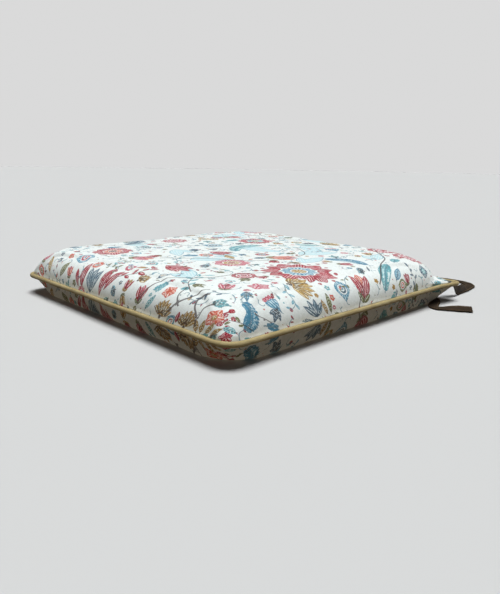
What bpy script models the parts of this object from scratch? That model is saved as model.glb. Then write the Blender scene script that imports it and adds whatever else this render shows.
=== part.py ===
"""A square, piped chair seat pad with a zipped cover and tie straps.

Metres, +Z up.  The pad lies flat on z = 0 with its middle on the Z axis.
+Y is the back edge, which holds the zip and the ties, and -Y is the front.
"""

import math

import bmesh
import bpy
from mathutils import Matrix, Vector

# Overall sizes.
PAD_SIDE = 0.400  # between the piping centre lines of two opposite edges
PAD_HEIGHT = 0.058  # floor to the middle of the crown
SEAM_HEIGHT = 0.024  # floor to the piping's centre line
CROWN_RISE = 0.0021  # from the top of the rounded shoulder to the middle of the crown
SHOULDER_WIDTH = 0.027  # how far the shoulder runs in from the side
CROWN_FLAT_INSET = 0.120  # the crown is level from this inset inwards

# Layers and the clearance that neighbouring meshes keep.
GAP = 0.0003
COVER_THICKNESS = 0.0008
WADDING_THICKNESS = 0.006
LAYER_GAP = 0.0010  # between soft layers, whose facets don't line up in the ears
TAPE_ROOM = 0.0017  # between the bottom panel and the wadding, for the zip tapes

# Piping and the seam allowance behind it.
PIPING_RADIUS = 0.00275
PIPING_FABRIC = 0.0005
CORD_CLEARANCE = 0.0003
ALLOWANCE_WIDTH = 0.0069
FLANGE_SLIT = 0.0003

# Corners in plan: at the piping, at the shoulder and where the pad meets the floor.
FRONT_CORNER_RADIUS = 0.020
BACK_CORNER_RADIUS = 0.008
FRONT_SHOULDER_RADIUS = 0.034
FRONT_SHOULDER_INSET = 0.015
BACK_SHOULDER_RADIUS = 0.062  # the top leaves the two back corners flat, like ears
EAR_RISE = 0.22  # share of the top's rise by which it has that radius
FLOOR_CORNER_RADIUS = 0.052
EAR_PULL = 0.005  # how far each back corner is drawn out, along X and along Y
EAR_REACH = 0.045

# The lower wall leans in from the seam and turns under at a heel.
WALL_LEAN = 0.37  # inset gained for each unit of height lost
HEEL_RISE = 0.004
HEEL_RUN = 0.0049

# Zip, in the lower back wall.
ZIP_MARGIN = 0.060  # from a side of the pad to an end of the zip
ZIP_HEIGHT = 0.013  # height of the zip's centre line on the wall
TAPE_THICKNESS = 0.0006
TAPE_WIDTH = 0.0077
TAPE_OVERRUN = 0.003
COIL_WIDTH = 0.00245  # one half of the chain
COIL_THICKNESS = 0.0020
SLIDER_LENGTH = 0.010
SLIDER_FLANGE = 0.0007
SLIDER_PLATE = 0.0010
STOP_LENGTH = 0.0025
LUG_THICKNESS = 0.0008
PIN_RADIUS = 0.0007
PIN_CLEARANCE = 0.0003
TAB_EYE_WIDTH = 0.0024
TAB_EYE_WALL = 0.0009
TAB_LENGTH = 0.018
TAB_WIDTH = 0.0056
TAB_THICKNESS = 0.0012

# Ties: flat straps of folded cloth.
TIE_WIDTH = 0.013
TIE_THICKNESS = 0.002
TIE_STATION = 0.005  # spacing of the strap's sections
TIE_LEAD = 0.0025  # a tie leaves the seam straight for this far
TIE_ROOT_GAP = 0.0008  # from the piping, whose facets stand out a little where the ear bends it
FLOOR_GAP = 0.0003
UPPER_TIE_INSET = 0.013  # from the side of the pad to the middle of the upper tie
LOWER_TIE_INSET = 0.043

# Bar tacks: short rows of thread that hold each corner.
TACK_LENGTH = 0.0045
TACK_WIDTH = 0.0014
TACK_THICKNESS = 0.0007
TACK_HEIGHT = 0.0290  # floor to the tacks, on the side of the top panel
TACK_ANGLES = (8, 52)  # degrees round the corner, from the side edge
TACK_CLEARANCE = 0.0008  # a straight tack on a round corner

# Mesh density.
ARC_STEPS = 7
SIDE_SHARES = (0.05, 0.12, 0.50, 0.88, 0.95)  # close together where an ear bends the side
SHOULDER_STEPS = 6
ROUND_STEPS = 12

HALF = PAD_SIDE / 2
SHOULDER_TOP = PAD_HEIGHT - CROWN_RISE
ZIP_LENGTH = PAD_SIDE - 2 * ZIP_MARGIN
UPPER_TIE_X = HALF - UPPER_TIE_INSET
LOWER_TIE_X = HALF - LOWER_TIE_INSET
SIDE_INSET = PIPING_RADIUS + GAP  # where a panel meets the piping
WADDING_DEPTH = COVER_THICKNESS + LAYER_GAP
LOWER_WADDING_DEPTH = COVER_THICKNESS + TAPE_ROOM
UPPER_FOAM_DEPTH = WADDING_DEPTH + WADDING_THICKNESS + LAYER_GAP
LOWER_FOAM_DEPTH = LOWER_WADDING_DEPTH + WADDING_THICKNESS + LAYER_GAP
FLANGE_HALF = FLANGE_SLIT / 2 + PIPING_FABRIC
LIP_NEAR = FLANGE_HALF + GAP  # seam plane to the near face of a panel's allowance
LIP_FAR = LIP_NEAR + COVER_THICKNESS
LIP_END = SIDE_INSET + ALLOWANCE_WIDTH
CLEAR_OF_LIP = LIP_FAR + GAP
FLOOR_INSET = SIDE_INSET + (SEAM_HEIGHT - HEEL_RISE) * WALL_LEAN + HEEL_RUN


# ---------------------------------------------------------------- scene helpers


def clear_scene():
    for obj in list(bpy.data.objects):
        bpy.data.objects.remove(obj, do_unlink=True)


def material(name, color, roughness, metallic=0.0):
    made = bpy.data.materials.new(name)
    made.use_nodes = True
    shader = made.node_tree.nodes["Principled BSDF"]
    shader.inputs["Base Color"].default_value = (*color, 1.0)
    shader.inputs["Roughness"].default_value = roughness
    shader.inputs["Metallic"].default_value = metallic
    made.diffuse_color = (*color, 1.0)
    return made


def add_object(name, mesh, look, smooth_degrees=35):
    obj = bpy.data.objects.new(name, mesh)
    bpy.context.scene.collection.objects.link(obj)
    if look is not None:
        mesh.materials.append(look)
    mesh.shade_smooth()
    mesh.set_sharp_from_angle(angle=math.radians(smooth_degrees))
    return obj


def mesh_from(name, points, faces):
    """A mesh with its faces turned outwards."""
    mesh = bpy.data.meshes.new(name)
    mesh.from_pydata([tuple(p) for p in points], [], faces)
    work = bmesh.new()
    work.from_mesh(mesh)
    bmesh.ops.recalc_face_normals(work, faces=work.faces)
    work.to_mesh(mesh)
    work.free()
    return mesh


def skin(rings, closed_section):
    """Faces over rings of equal length, capped at both ends unless the section closes on itself."""
    count = len(rings[0])
    rows = len(rings)
    faces = []
    for row in range(rows if closed_section else rows - 1):
        here = row * count
        there = (row + 1) % rows * count
        for i in range(count):
            j = (i + 1) % count
            faces.append((here + i, here + j, there + j, there + i))
    if not closed_section:
        faces.append(tuple(reversed(range(count))))
        faces.append(tuple(range((rows - 1) * count, rows * count)))
    return [p for ring in rings for p in ring], faces


def box_mesh(name, low, high):
    corners = [(x, y, z) for z in (low[2], high[2]) for y in (low[1], high[1]) for x in (low[0], high[0])]
    faces = [(0, 2, 3, 1), (4, 5, 7, 6), (0, 1, 5, 4), (2, 6, 7, 3), (0, 4, 6, 2), (1, 3, 7, 5)]
    return mesh_from(name, corners, faces)


def helper(name, mesh, matrix):
    """An object that only serves a Boolean."""
    obj = bpy.data.objects.new(name, mesh)
    bpy.context.scene.collection.objects.link(obj)
    obj.matrix_world = matrix
    obj.hide_render = True
    obj.display_type = "WIRE"
    return obj


def boolean(obj, other, operation):
    modifier = obj.modifiers.new(other.name, "BOOLEAN")
    modifier.operation = operation
    modifier.solver = "EXACT"
    modifier.object = other


# ---------------------------------------------------------------- the pad's outline


def ear(x, y, z):
    """Draws the two back corners out into small ears, and leaves the rest alone."""
    side = math.copysign(1.0, x)
    away = math.hypot(abs(x) - HALF, y - HALF)
    share = max(0.0, 1.0 - away / EAR_REACH)
    share *= share * (3.0 - 2.0 * share)
    return Vector((x + side * EAR_PULL * share, y + EAR_PULL * share, z))


def seam_radius(at_back):
    return BACK_CORNER_RADIUS if at_back else FRONT_CORNER_RADIUS


def growing_radius(share, at_back, target):
    """A corner radius that follows the piping at the seam, share 0, and reaches target at share 1."""
    start = seam_radius(at_back) - SIDE_INSET
    return start + (target - start) * min(max(share, 0.0), 1.0)


def upper_radius(inset, at_back):
    if at_back:
        across = min(max((inset - SIDE_INSET) / SHOULDER_WIDTH, 0.0), 1.0)
        risen = math.sqrt(1.0 - (1.0 - across) ** 2)
        return growing_radius(risen / EAR_RISE, at_back, BACK_SHOULDER_RADIUS)
    share = (inset - SIDE_INSET) / (FRONT_SHOULDER_INSET - SIDE_INSET)
    return growing_radius(share, at_back, FRONT_SHOULDER_RADIUS)


def lower_radius(inset, at_back):
    return growing_radius((inset - SIDE_INSET) / (FLOOR_INSET - SIDE_INSET), at_back, FLOOR_CORNER_RADIUS)


def piping_radius(inset, at_back):
    return max(seam_radius(at_back) - inset, 0.001)


def outline(inset, z, radius_rule):
    """One ring round the pad: a square with rounded corners, counter-clockwise from the right side."""
    half = HALF - inset
    ring = []
    for corner in range(4):
        radius = min(radius_rule(inset, at_back=corner in (0, 1)), half)
        turn = math.pi / 2 * corner
        middle = Vector((half - radius, half - radius))
        arc = []
        for step in range(ARC_STEPS + 1):
            angle = math.pi / 2 * step / ARC_STEPS
            spot = middle + radius * Vector((math.cos(angle), math.sin(angle)))
            arc.append(Matrix.Rotation(turn, 2) @ spot)
        if ring:
            ring += between(ring[-1], arc[0])
        ring += arc
    ring += between(ring[-1], ring[0])
    return [ear(p.x, p.y, z) for p in ring]


def between(start, end):
    """Points that split a straight side, without its ends."""
    return [start.lerp(end, share) for share in SIDE_SHARES]


# ---------------------------------------------------------------- the pad's sections


def crown_height(inset):
    """Height of the top between the shoulder and the level middle."""
    shoulder_end = SIDE_INSET + SHOULDER_WIDTH
    share = min((inset - shoulder_end) / (CROWN_FLAT_INSET - shoulder_end), 1.0)
    return SHOULDER_TOP + (PAD_HEIGHT - SHOULDER_TOP) * (1.0 - (1.0 - share) ** 2)


def upper_section(depth, lowest):
    """(inset, z) from the level crown down to z = lowest, at a depth below the top surface."""
    centre = SIDE_INSET + SHOULDER_WIDTH
    across = SHOULDER_WIDTH - depth
    rise = SHOULDER_TOP - SEAM_HEIGHT - depth
    points = []
    for share in (1.0, 0.45, 0.15):
        inset = centre + share * (CROWN_FLAT_INSET - centre)
        points.append((inset, crown_height(inset) - depth))
    fold, last = math.asin(EAR_RISE), math.asin((lowest - SEAM_HEIGHT) / rise)
    angles = [math.pi / 2 + (fold - math.pi / 2) * step / SHOULDER_STEPS for step in range(SHOULDER_STEPS + 1)]
    for angle in (*angles, last):
        points.append((centre - across * math.cos(angle), SEAM_HEIGHT + rise * math.sin(angle)))
    return points


def wall_inset(z, depth):
    """Inset of the leaning lower wall at a height, at a depth behind its outer face."""
    return SIDE_INSET + (SEAM_HEIGHT - z) * WALL_LEAN + depth * math.hypot(1.0, WALL_LEAN)


def lower_section(depth, highest):
    """(inset, z) from z = highest down the leaning wall and the heel to the level underside."""
    heel_z = depth + HEEL_RISE
    heel = wall_inset(heel_z, depth)
    return [
        (wall_inset(highest, depth), highest),
        (heel, heel_z),
        (heel + 0.45 * HEEL_RUN, depth + 0.3 * HEEL_RISE),
        (heel + HEEL_RUN, depth),
    ]


def shell(name, section, radius_rule, look):
    """A solid whose section is given from its outer cap to its inner cap."""
    rings = [outline(inset, z, radius_rule) for inset, z in section]
    return add_object(name, mesh_from(name, *skin(rings, closed_section=False)), look)


def swept_loop(name, section, radius_rule, look):
    """A closed section carried all round the pad."""
    rings = [outline(inset, z, radius_rule) for inset, z in section]
    return add_object(name, mesh_from(name, *skin(rings, closed_section=True)), look)


# ---------------------------------------------------------------- soft layers


def make_top_panel(look):
    outer = upper_section(0.0, SEAM_HEIGHT + LIP_NEAR)
    inner = upper_section(COVER_THICKNESS, SEAM_HEIGHT + LIP_FAR)
    lip = [(LIP_END, SEAM_HEIGHT + LIP_NEAR), (LIP_END, SEAM_HEIGHT + LIP_FAR)]
    return shell("cover_top_panel", outer + lip + inner[::-1], upper_radius, look)


def make_bottom_panel(look):
    outer = lower_section(0.0, SEAM_HEIGHT - LIP_NEAR)
    inner = lower_section(COVER_THICKNESS, SEAM_HEIGHT - LIP_FAR)
    lip = [(LIP_END, SEAM_HEIGHT - LIP_NEAR), (LIP_END, SEAM_HEIGHT - LIP_FAR)]
    panel = shell("cover_bottom_panel", outer[::-1] + lip + inner, lower_radius, look)
    reach = ZIP_LENGTH / 2 + GAP
    half_slot = slot_half_width()
    low = (-reach, -half_slot, -COVER_THICKNESS - GAP / 2)
    slot = box_mesh("zip_slot", low, (reach, half_slot, COVER_THICKNESS))
    panel.modifiers.new("flat_faces", "TRIANGULATE")  # the solver loses a skin with bent quads
    boolean(panel, helper("zip_slot", slot, zip_frame()), "DIFFERENCE")
    return panel


def make_wadding(look):
    top_outer = upper_section(WADDING_DEPTH, SEAM_HEIGHT + CLEAR_OF_LIP)
    top_inner = upper_section(WADDING_DEPTH + WADDING_THICKNESS, SEAM_HEIGHT + CLEAR_OF_LIP)
    shell("wadding_top", top_outer + top_inner[::-1], upper_radius, look)
    low_outer = lower_section(LOWER_WADDING_DEPTH, SEAM_HEIGHT - CLEAR_OF_LIP)
    low_inner = lower_section(LOWER_WADDING_DEPTH + WADDING_THICKNESS, SEAM_HEIGHT - CLEAR_OF_LIP)
    shell("wadding_bottom", low_outer[::-1] + low_inner, lower_radius, look)


def make_foam(look):
    upper = upper_section(UPPER_FOAM_DEPTH, SEAM_HEIGHT + CLEAR_OF_LIP)
    lower = lower_section(LOWER_FOAM_DEPTH, SEAM_HEIGHT - CLEAR_OF_LIP)
    waist = max(upper[-1][0], lower[0][0], LIP_END + GAP)
    upper[-1] = (waist, upper[-1][1])
    lower[0] = (waist, lower[0][1])
    shell("foam_core", upper + lower, foam_radius, look)


def foam_radius(inset, at_back):
    return max(upper_radius(inset, at_back), lower_radius(inset, at_back))


def make_piping(cord_look, cover_look):
    cord_radius = PIPING_RADIUS - PIPING_FABRIC - CORD_CLEARANCE
    circle = []
    for step in range(ROUND_STEPS):
        angle = 2 * math.pi * step / ROUND_STEPS
        circle.append((cord_radius * math.cos(angle), SEAM_HEIGHT + cord_radius * math.sin(angle)))
    swept_loop("piping_cord", circle, piping_radius, cord_look)
    outside = piping_arc(PIPING_RADIUS, FLANGE_HALF)
    inside = piping_arc(PIPING_RADIUS - PIPING_FABRIC, FLANGE_SLIT / 2)
    section = [
        (LIP_END, SEAM_HEIGHT + FLANGE_HALF),
        *outside,
        (LIP_END, SEAM_HEIGHT - FLANGE_HALF),
        (LIP_END, SEAM_HEIGHT - FLANGE_SLIT / 2),
        *inside[::-1],
        (LIP_END, SEAM_HEIGHT + FLANGE_SLIT / 2),
    ]
    swept_loop("piping_cover", section, piping_radius, cover_look)


def piping_arc(radius, end_height):
    """Round the outside of the cord, from above the flange to below it."""
    start = math.asin(end_height / radius)
    points = []
    for step in range(ROUND_STEPS + 1):
        angle = start + (2 * math.pi - 2 * start) * step / ROUND_STEPS
        points.append((radius * math.cos(angle), SEAM_HEIGHT + radius * math.sin(angle)))
    return points


# ---------------------------------------------------------------- zip


def zip_frame():
    """Local X runs along the zip, Y down the wall and Z out of it, from the panel's outer face."""
    across = Vector((0.0, -WALL_LEAN, -1.0)).normalized()
    out = Vector((1.0, 0.0, 0.0)).cross(across)
    frame = Matrix((Vector((1.0, 0.0, 0.0)), across, out)).transposed().to_4x4()
    frame.translation = Vector((0.0, HALF - wall_inset(ZIP_HEIGHT, 0.0), ZIP_HEIGHT))
    return frame


def chain_half_width():
    return GAP / 2 + COIL_WIDTH


def slot_half_width():
    return chain_half_width() + 2 * GAP + SLIDER_FLANGE


def coil_base():
    return -COVER_THICKNESS


def coil_top():
    return coil_base() + COIL_THICKNESS


def rounded_bar(name, low, high, look, bevel):
    obj = add_object(name, box_mesh(name, low, high), look)
    edge = obj.modifiers.new("edges", "BEVEL")
    edge.width = bevel
    edge.segments = 2
    obj.matrix_world = zip_frame()
    return obj


def make_zip(tape_look, coil_look, metal_look):
    tape_top = coil_base() - GAP
    half_tape = ZIP_LENGTH / 2 + TAPE_OVERRUN
    half_coil = ZIP_LENGTH / 2 - STOP_LENGTH - GAP
    for side, label in ((-1, "upper"), (1, "lower")):
        span = sorted((side * GAP / 2, side * (GAP / 2 + TAPE_WIDTH)))
        low = (-half_tape, span[0], tape_top - TAPE_THICKNESS)
        tape = box_mesh("tape", low, (half_tape, span[1], tape_top))
        add_object(f"zip_tape_{label}", tape, tape_look).matrix_world = zip_frame()
        span = sorted((side * GAP / 2, side * chain_half_width()))
        low = (-half_coil, span[0], coil_base())
        rounded_bar(f"zip_coil_{label}", low, (half_coil, span[1], coil_top()), coil_look, 0.0006)
    for side, label in ((1, "closed_end"), (-1, "open_end")):
        span = sorted((side * ZIP_LENGTH / 2, side * (ZIP_LENGTH / 2 - STOP_LENGTH)))
        low = (span[0], -chain_half_width(), coil_base())
        high = (span[1], chain_half_width(), coil_top())
        rounded_bar(f"zip_stop_{label}", low, high, metal_look, 0.0003)
    make_slider(metal_look)
    make_pull_tab(metal_look)


def slider_centre():
    """Where the closed zip parks its slider, along the zip."""
    return ZIP_LENGTH / 2 - STOP_LENGTH - GAP - SLIDER_LENGTH / 2


def plate_top():
    return coil_top() + GAP + SLIDER_PLATE


def pin_height():
    return plate_top() + GAP + TAB_EYE_WALL + PIN_CLEARANCE + PIN_RADIUS


def make_slider(look):
    """A plate with two side flanges, and two lugs with the pin that the tab swings on."""
    middle = slider_centre()
    flange_in = chain_half_width() + GAP
    flange_out = flange_in + SLIDER_FLANGE
    bottom = coil_base() + GAP
    under = coil_top() + GAP
    top = plate_top()
    section = [
        (-flange_out, bottom),
        (-flange_in, bottom),
        (-flange_in, under),
        (flange_in, under),
        (flange_in, bottom),
        (flange_out, bottom),
        (flange_out, top),
        (-flange_out, top),
    ]
    ends = (middle - SLIDER_LENGTH / 2, middle + SLIDER_LENGTH / 2)
    rings = [[(x, y, z) for y, z in section] for x in ends]
    slider = add_object("zip_slider", mesh_from("zip_slider", *skin(rings, closed_section=False)), look)
    slider.matrix_world = zip_frame()
    lug_in = TAB_EYE_WIDTH / 2 + GAP
    lug_half = PIN_RADIUS + 0.0007
    for side in (-1, 1):
        span = sorted((side * lug_in, side * (lug_in + LUG_THICKNESS)))
        low = (middle - lug_half, span[0], top - SLIDER_PLATE / 2)
        high = (middle + lug_half, span[1], pin_height() + lug_half)
        lug = helper(f"slider_lug_{side}", box_mesh("lug", low, high), zip_frame())
        boolean(slider, lug, "UNION")
    reach = lug_in + LUG_THICKNESS / 2
    pin = cylinder_across("pin", PIN_RADIUS, -reach, reach, middle, pin_height())
    boolean(slider, helper("slider_pin", pin, zip_frame()), "UNION")


def cylinder_across(name, radius, low, high, x, z):
    """A cylinder lying across the zip."""
    rings = []
    for y in (low, high):
        ring = []
        for step in range(ROUND_STEPS):
            angle = 2 * math.pi * step / ROUND_STEPS
            ring.append((x + radius * math.cos(angle), y, z + radius * math.sin(angle)))
        rings.append(ring)
    return mesh_from(name, *skin(rings, closed_section=False))


def make_pull_tab(look):
    """An eye round the slider's pin and a flat grip, lying along the chain."""
    x = slider_centre()
    z = pin_height()
    eye_radius = PIN_RADIUS + PIN_CLEARANCE + TAB_EYE_WALL
    half = TAB_EYE_WIDTH / 2
    mesh = cylinder_across("zip_pull_tab", eye_radius, -half, half, 0.0, 0.0)
    tab = add_object("zip_pull_tab", mesh, look)
    tab.matrix_world = zip_frame() @ Matrix.Translation((x, 0.0, z))
    thick = TAB_THICKNESS / 2
    neck_end = eye_radius + 0.0035
    neck = box_mesh("neck", (-neck_end, -half, -thick), (-PIN_RADIUS, half, thick))
    boolean(tab, helper("tab_neck", neck, tab.matrix_world), "UNION")
    outline_points = []
    tip = TAB_LENGTH - TAB_WIDTH / 2
    outline_points.append((-neck_end + 0.001, -half))
    outline_points.append((-neck_end - 0.001, -TAB_WIDTH / 2))
    for step in range(9):
        angle = math.pi * step / 8
        outline_points.append(
            (-tip - TAB_WIDTH / 2 * math.sin(angle), -TAB_WIDTH / 2 * math.cos(angle))
        )
    outline_points.append((-neck_end - 0.001, TAB_WIDTH / 2))
    outline_points.append((-neck_end + 0.001, half))
    rings = [[(px, py, pz) for px, py in outline_points] for pz in (-thick, thick)]
    grip = mesh_from("grip", *skin(rings, closed_section=False))
    boolean(tab, helper("tab_grip", grip, tab.matrix_world), "UNION")
    bore = cylinder_across("bore", PIN_RADIUS + PIN_CLEARANCE, -2 * half, 2 * half, 0.0, 0.0)
    boolean(tab, helper("tab_bore", bore, tab.matrix_world), "DIFFERENCE")


# ---------------------------------------------------------------- ties


def tie_root_y(x):
    """Where a tie that is centred on x starts: clear of the piping over its whole width."""
    corner_side = x + TIE_WIDTH / 2
    return ear(corner_side, HALF + PIPING_RADIUS, SEAM_HEIGHT).y + TIE_ROOT_GAP


def upper_tie_route():
    """(x, y, z, roll in degrees): out of the seam, down on its edge, then flat along the floor."""
    root = tie_root_y(UPPER_TIE_X)
    return [
        (UPPER_TIE_X, root, SEAM_HEIGHT, 0),
        (UPPER_TIE_X, root + TIE_LEAD, SEAM_HEIGHT, 0),
        (0.1882, 0.2165, 0.0210, 15),
        (0.1898, 0.2230, 0.0140, 50),
        (0.1908, 0.2330, 0.0070, 82),
        (0.1898, 0.2440, 0.0068, 80),
        (0.1878, 0.2560, 0.0060, 62),
        (0.1850, 0.2700, 0.0040, 34),
        (0.1822, 0.2840, 0.0025, 16),
        (0.1790, 0.2970, 0.0013, 6),
        (0.1710, 0.3090, 0.0013, 0),
        (0.1560, 0.3160, 0.0013, 0),
        (0.1350, 0.3155, 0.0013, 0),
        (0.1100, 0.3090, 0.0013, 0),
        (0.0850, 0.3030, 0.0013, 0),
        (0.0600, 0.3010, 0.0013, 0),
        (0.0350, 0.3030, 0.0013, 0),
    ]


def lower_tie_route():
    """Out of the seam, round on its edge, under the raised corner and out along the floor."""
    root = tie_root_y(LOWER_TIE_X)
    return [
        (LOWER_TIE_X, root, SEAM_HEIGHT, 0),
        (LOWER_TIE_X, root + TIE_LEAD, SEAM_HEIGHT, 0),
        (0.1553, 0.2140, 0.0190, 35),
        (0.1500, 0.2250, 0.0115, 75),
        (0.1430, 0.2340, 0.0070, 90),
        (0.1340, 0.2405, 0.0068, 90),
        (0.1250, 0.2415, 0.0068, 90),
        (0.1170, 0.2370, 0.0068, 90),
        (0.1145, 0.2295, 0.0068, 90),
        (0.1195, 0.2220, 0.0068, 90),
        (0.1310, 0.2197, 0.0068, 90),
        (0.1400, 0.2180, 0.0062, 70),
        (0.1520, 0.2115, 0.0040, 30),
        (0.1600, 0.2035, 0.0018, 8),
        (0.1680, 0.1970, 0.0013, 0),
        (0.1765, 0.1908, 0.0013, 0),
        (0.1842, 0.1825, 0.0013, 0),
        (0.1902, 0.1728, 0.0013, 0),
        (0.1948, 0.1622, 0.0013, 0),
        (0.1985, 0.1520, 0.0013, 0),
        (0.2028, 0.1452, 0.0013, 0),
        (0.2088, 0.1425, 0.0013, 0),
        (0.2160, 0.1450, 0.0015, 4),
        (0.2250, 0.1500, 0.0024, 14),
        (0.2345, 0.1560, 0.0024, 18),
        (0.2440, 0.1625, 0.0024, 18),
    ]


LOWER_TIE_SPLIT = 21  # the route point where the lower tie's free stretch begins


def catmull(route, position):
    """The smooth curve through a route, at a position counted in route points."""
    last = len(route) - 1
    i = min(int(position), last - 1)
    t = position - i
    before, start, end, after = (
        route[max(i - 1, 0)],
        route[i],
        route[i + 1],
        route[min(i + 2, last)],
    )
    return [
        0.5 * (2 * b + (c - a) * t + (2 * a - 5 * b + 4 * c - d) * t**2 + (3 * b - a - 3 * c + d) * t**3)
        for a, b, c, d in zip(before, start, end, after, strict=True)
    ]


def strap_height(z, roll):
    """The height of a strap's middle, lifted where its lower edge would pass the floor."""
    angle = math.radians(roll)
    reach = TIE_WIDTH / 2 * abs(math.sin(angle)) + TIE_THICKNESS / 2 * abs(math.cos(angle))
    return max(z, reach + FLOOR_GAP)


def strap_stations(route):
    """(middle, roll) evenly enough for a strap's sections, and the station index of each route point."""
    stations = []
    starts = []
    for i in range(len(route) - 1):
        starts.append(len(stations))
        length = math.dist(route[i][:3], route[i + 1][:3])
        steps = max(1, round(length / TIE_STATION))
        stations += [catmull(route, i + step / steps) for step in range(steps)]
    starts.append(len(stations))
    stations.append(route[-1])
    placed = [(Vector((x, y, strap_height(z, roll))), math.radians(roll)) for x, y, z, roll in stations]
    return placed, starts


def strap_sections(stations):
    """(corner points, heading) of the strap at each station."""
    sections = []
    for i, (middle, roll) in enumerate(stations):
        behind = stations[max(i - 1, 0)][0]
        ahead = stations[min(i + 1, len(stations) - 1)][0]
        heading = (ahead - behind).normalized()
        side = heading.cross(Vector((0.0, 0.0, 1.0))).normalized()
        side = Matrix.Rotation(-roll, 3, heading) @ side
        face = side.cross(heading)
        corners = ((-1, -1), (1, -1), (1, 1), (-1, 1))
        ring = [middle + side * across * TIE_WIDTH / 2 + face * up * TIE_THICKNESS / 2 for across, up in corners]
        sections.append((ring, heading))
    return sections


def make_strap(name, rings, mirror, look):
    """A flat strap.  mirror is -1 for the ties at the left corner."""
    placed = [[(mirror * p.x, p.y, p.z) for p in ring] for ring in rings]
    add_object(name, mesh_from(name, *skin(placed, closed_section=False)), look)


def make_ties(look):
    upper, _ = strap_stations(upper_tie_route())
    lower, starts = strap_stations(lower_tie_route())
    upper_rings = [ring for ring, _ in strap_sections(upper)]
    lower_sections = strap_sections(lower)
    split = starts[LOWER_TIE_SPLIT]
    tucked = [ring for ring, _ in lower_sections[: split + 1]]
    split_ring, heading = lower_sections[split]
    free = [[p + heading * GAP for p in split_ring]]
    free += [ring for ring, _ in lower_sections[split + 1 :]]
    for mirror, label in ((1, "right"), (-1, "left")):
        make_strap(f"tie_{label}_upper", upper_rings, mirror, look)
        make_strap(f"tie_{label}_lower_tucked", tucked, mirror, look)
        make_strap(f"tie_{label}_lower_free", free, mirror, look)


# ---------------------------------------------------------------- bar tacks


def top_surface(corner_angle, z):
    """A point on the top panel's shoulder at the back right corner, at a height."""
    rise = (z - SEAM_HEIGHT) / (SHOULDER_TOP - SEAM_HEIGHT)
    inset = SIDE_INSET + SHOULDER_WIDTH * (1.0 - math.sqrt(1.0 - rise**2))
    radius = upper_radius(inset, at_back=True)
    middle = HALF - inset - radius
    x = middle + radius * math.cos(corner_angle)
    y = middle + radius * math.sin(corner_angle)
    return ear(x, y, z)


def make_bar_tacks(look):
    """Two tacks at each back corner, lying along the seam on the top panel."""
    half = Vector((TACK_LENGTH, TACK_WIDTH, TACK_THICKNESS)) / 2
    for number, degrees in enumerate(TACK_ANGLES, start=1):
        angle = math.radians(degrees)
        spot = top_surface(angle, TACK_HEIGHT)
        along = (top_surface(angle + 0.01, TACK_HEIGHT) - spot).normalized()
        up_wall = (top_surface(angle, TACK_HEIGHT + 0.0002) - spot).normalized()
        out = along.cross(up_wall).normalized()
        side = out.cross(along)
        frame = Matrix((along, side, out)).transposed().to_4x4()
        frame.translation = spot + out * (TACK_CLEARANCE + TACK_THICKNESS / 2)
        for mirror, label in ((1, "right"), (-1, "left")):
            name = f"bar_tack_{label}_{number}"
            mesh = box_mesh(name, -half, half)
            mesh.transform(frame)
            if mirror < 0:
                mesh.transform(Matrix.Scale(-1.0, 4, (1.0, 0.0, 0.0)))
                mesh.flip_normals()
            add_object(name, mesh, look)


# ---------------------------------------------------------------- the whole pad


def build():
    clear_scene()
    foam = material("foam", (0.80, 0.74, 0.50), 0.95)
    wadding = material("wadding", (0.86, 0.86, 0.84), 1.0)
    print_cloth = material("printed_cotton", (0.71, 0.68, 0.62), 0.85)
    piping_cloth = material("piping_cloth", (0.46, 0.38, 0.22), 0.75)
    cord = material("cotton_cord", (0.82, 0.79, 0.70), 0.9)
    tape = material("zip_tape", (0.60, 0.54, 0.42), 0.9)
    coil = material("zip_coil", (0.55, 0.49, 0.36), 0.45)
    metal = material("zip_metal", (0.45, 0.38, 0.24), 0.35, 1.0)
    strap = material("tie_cloth", (0.060, 0.038, 0.022), 0.85)
    thread = material("tack_thread", (0.72, 0.58, 0.26), 0.6)
    make_foam(foam)
    make_wadding(wadding)
    make_top_panel(print_cloth)
    make_bottom_panel(print_cloth)
    make_piping(cord, piping_cloth)
    make_zip(tape, coil, metal)
    make_ties(strap)
    make_bar_tacks(thread)


build()
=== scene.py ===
"""Looks of a square, piped seat pad with a zipped print cover and tie straps.

Metres, +Z up.  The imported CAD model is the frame: its nodes keep their places, and
the soft ones are stood for by finer pieces made here.
"""

import math

import bpy
import numpy as np
from mathutils import Matrix, Vector


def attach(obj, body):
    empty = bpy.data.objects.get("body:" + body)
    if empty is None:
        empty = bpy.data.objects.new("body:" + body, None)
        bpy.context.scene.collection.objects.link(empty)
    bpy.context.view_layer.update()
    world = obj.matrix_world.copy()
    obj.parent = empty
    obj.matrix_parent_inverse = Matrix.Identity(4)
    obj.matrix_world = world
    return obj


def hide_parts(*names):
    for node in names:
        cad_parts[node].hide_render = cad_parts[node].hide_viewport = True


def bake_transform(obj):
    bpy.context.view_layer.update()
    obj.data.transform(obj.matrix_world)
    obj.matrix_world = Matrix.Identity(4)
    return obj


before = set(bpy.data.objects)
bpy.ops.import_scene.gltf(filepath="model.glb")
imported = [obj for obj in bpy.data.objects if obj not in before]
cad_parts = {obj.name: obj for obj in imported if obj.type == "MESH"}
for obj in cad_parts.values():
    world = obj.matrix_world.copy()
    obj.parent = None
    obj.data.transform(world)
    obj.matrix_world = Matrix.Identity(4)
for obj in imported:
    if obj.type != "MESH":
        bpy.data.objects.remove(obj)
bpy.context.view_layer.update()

# Sizes that the CAD model has too.
HALF = 0.200  # from the middle to the piping's centre line
PAD_HEIGHT = 0.058
SEAM_HEIGHT = 0.024
SHOULDER_TOP = 0.0559
SHOULDER_WIDTH = 0.027
CROWN_FLAT_INSET = 0.120
COVER_THICKNESS = 0.0008
PIPING_RADIUS = 0.00275
SIDE_INSET = 0.00305
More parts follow.
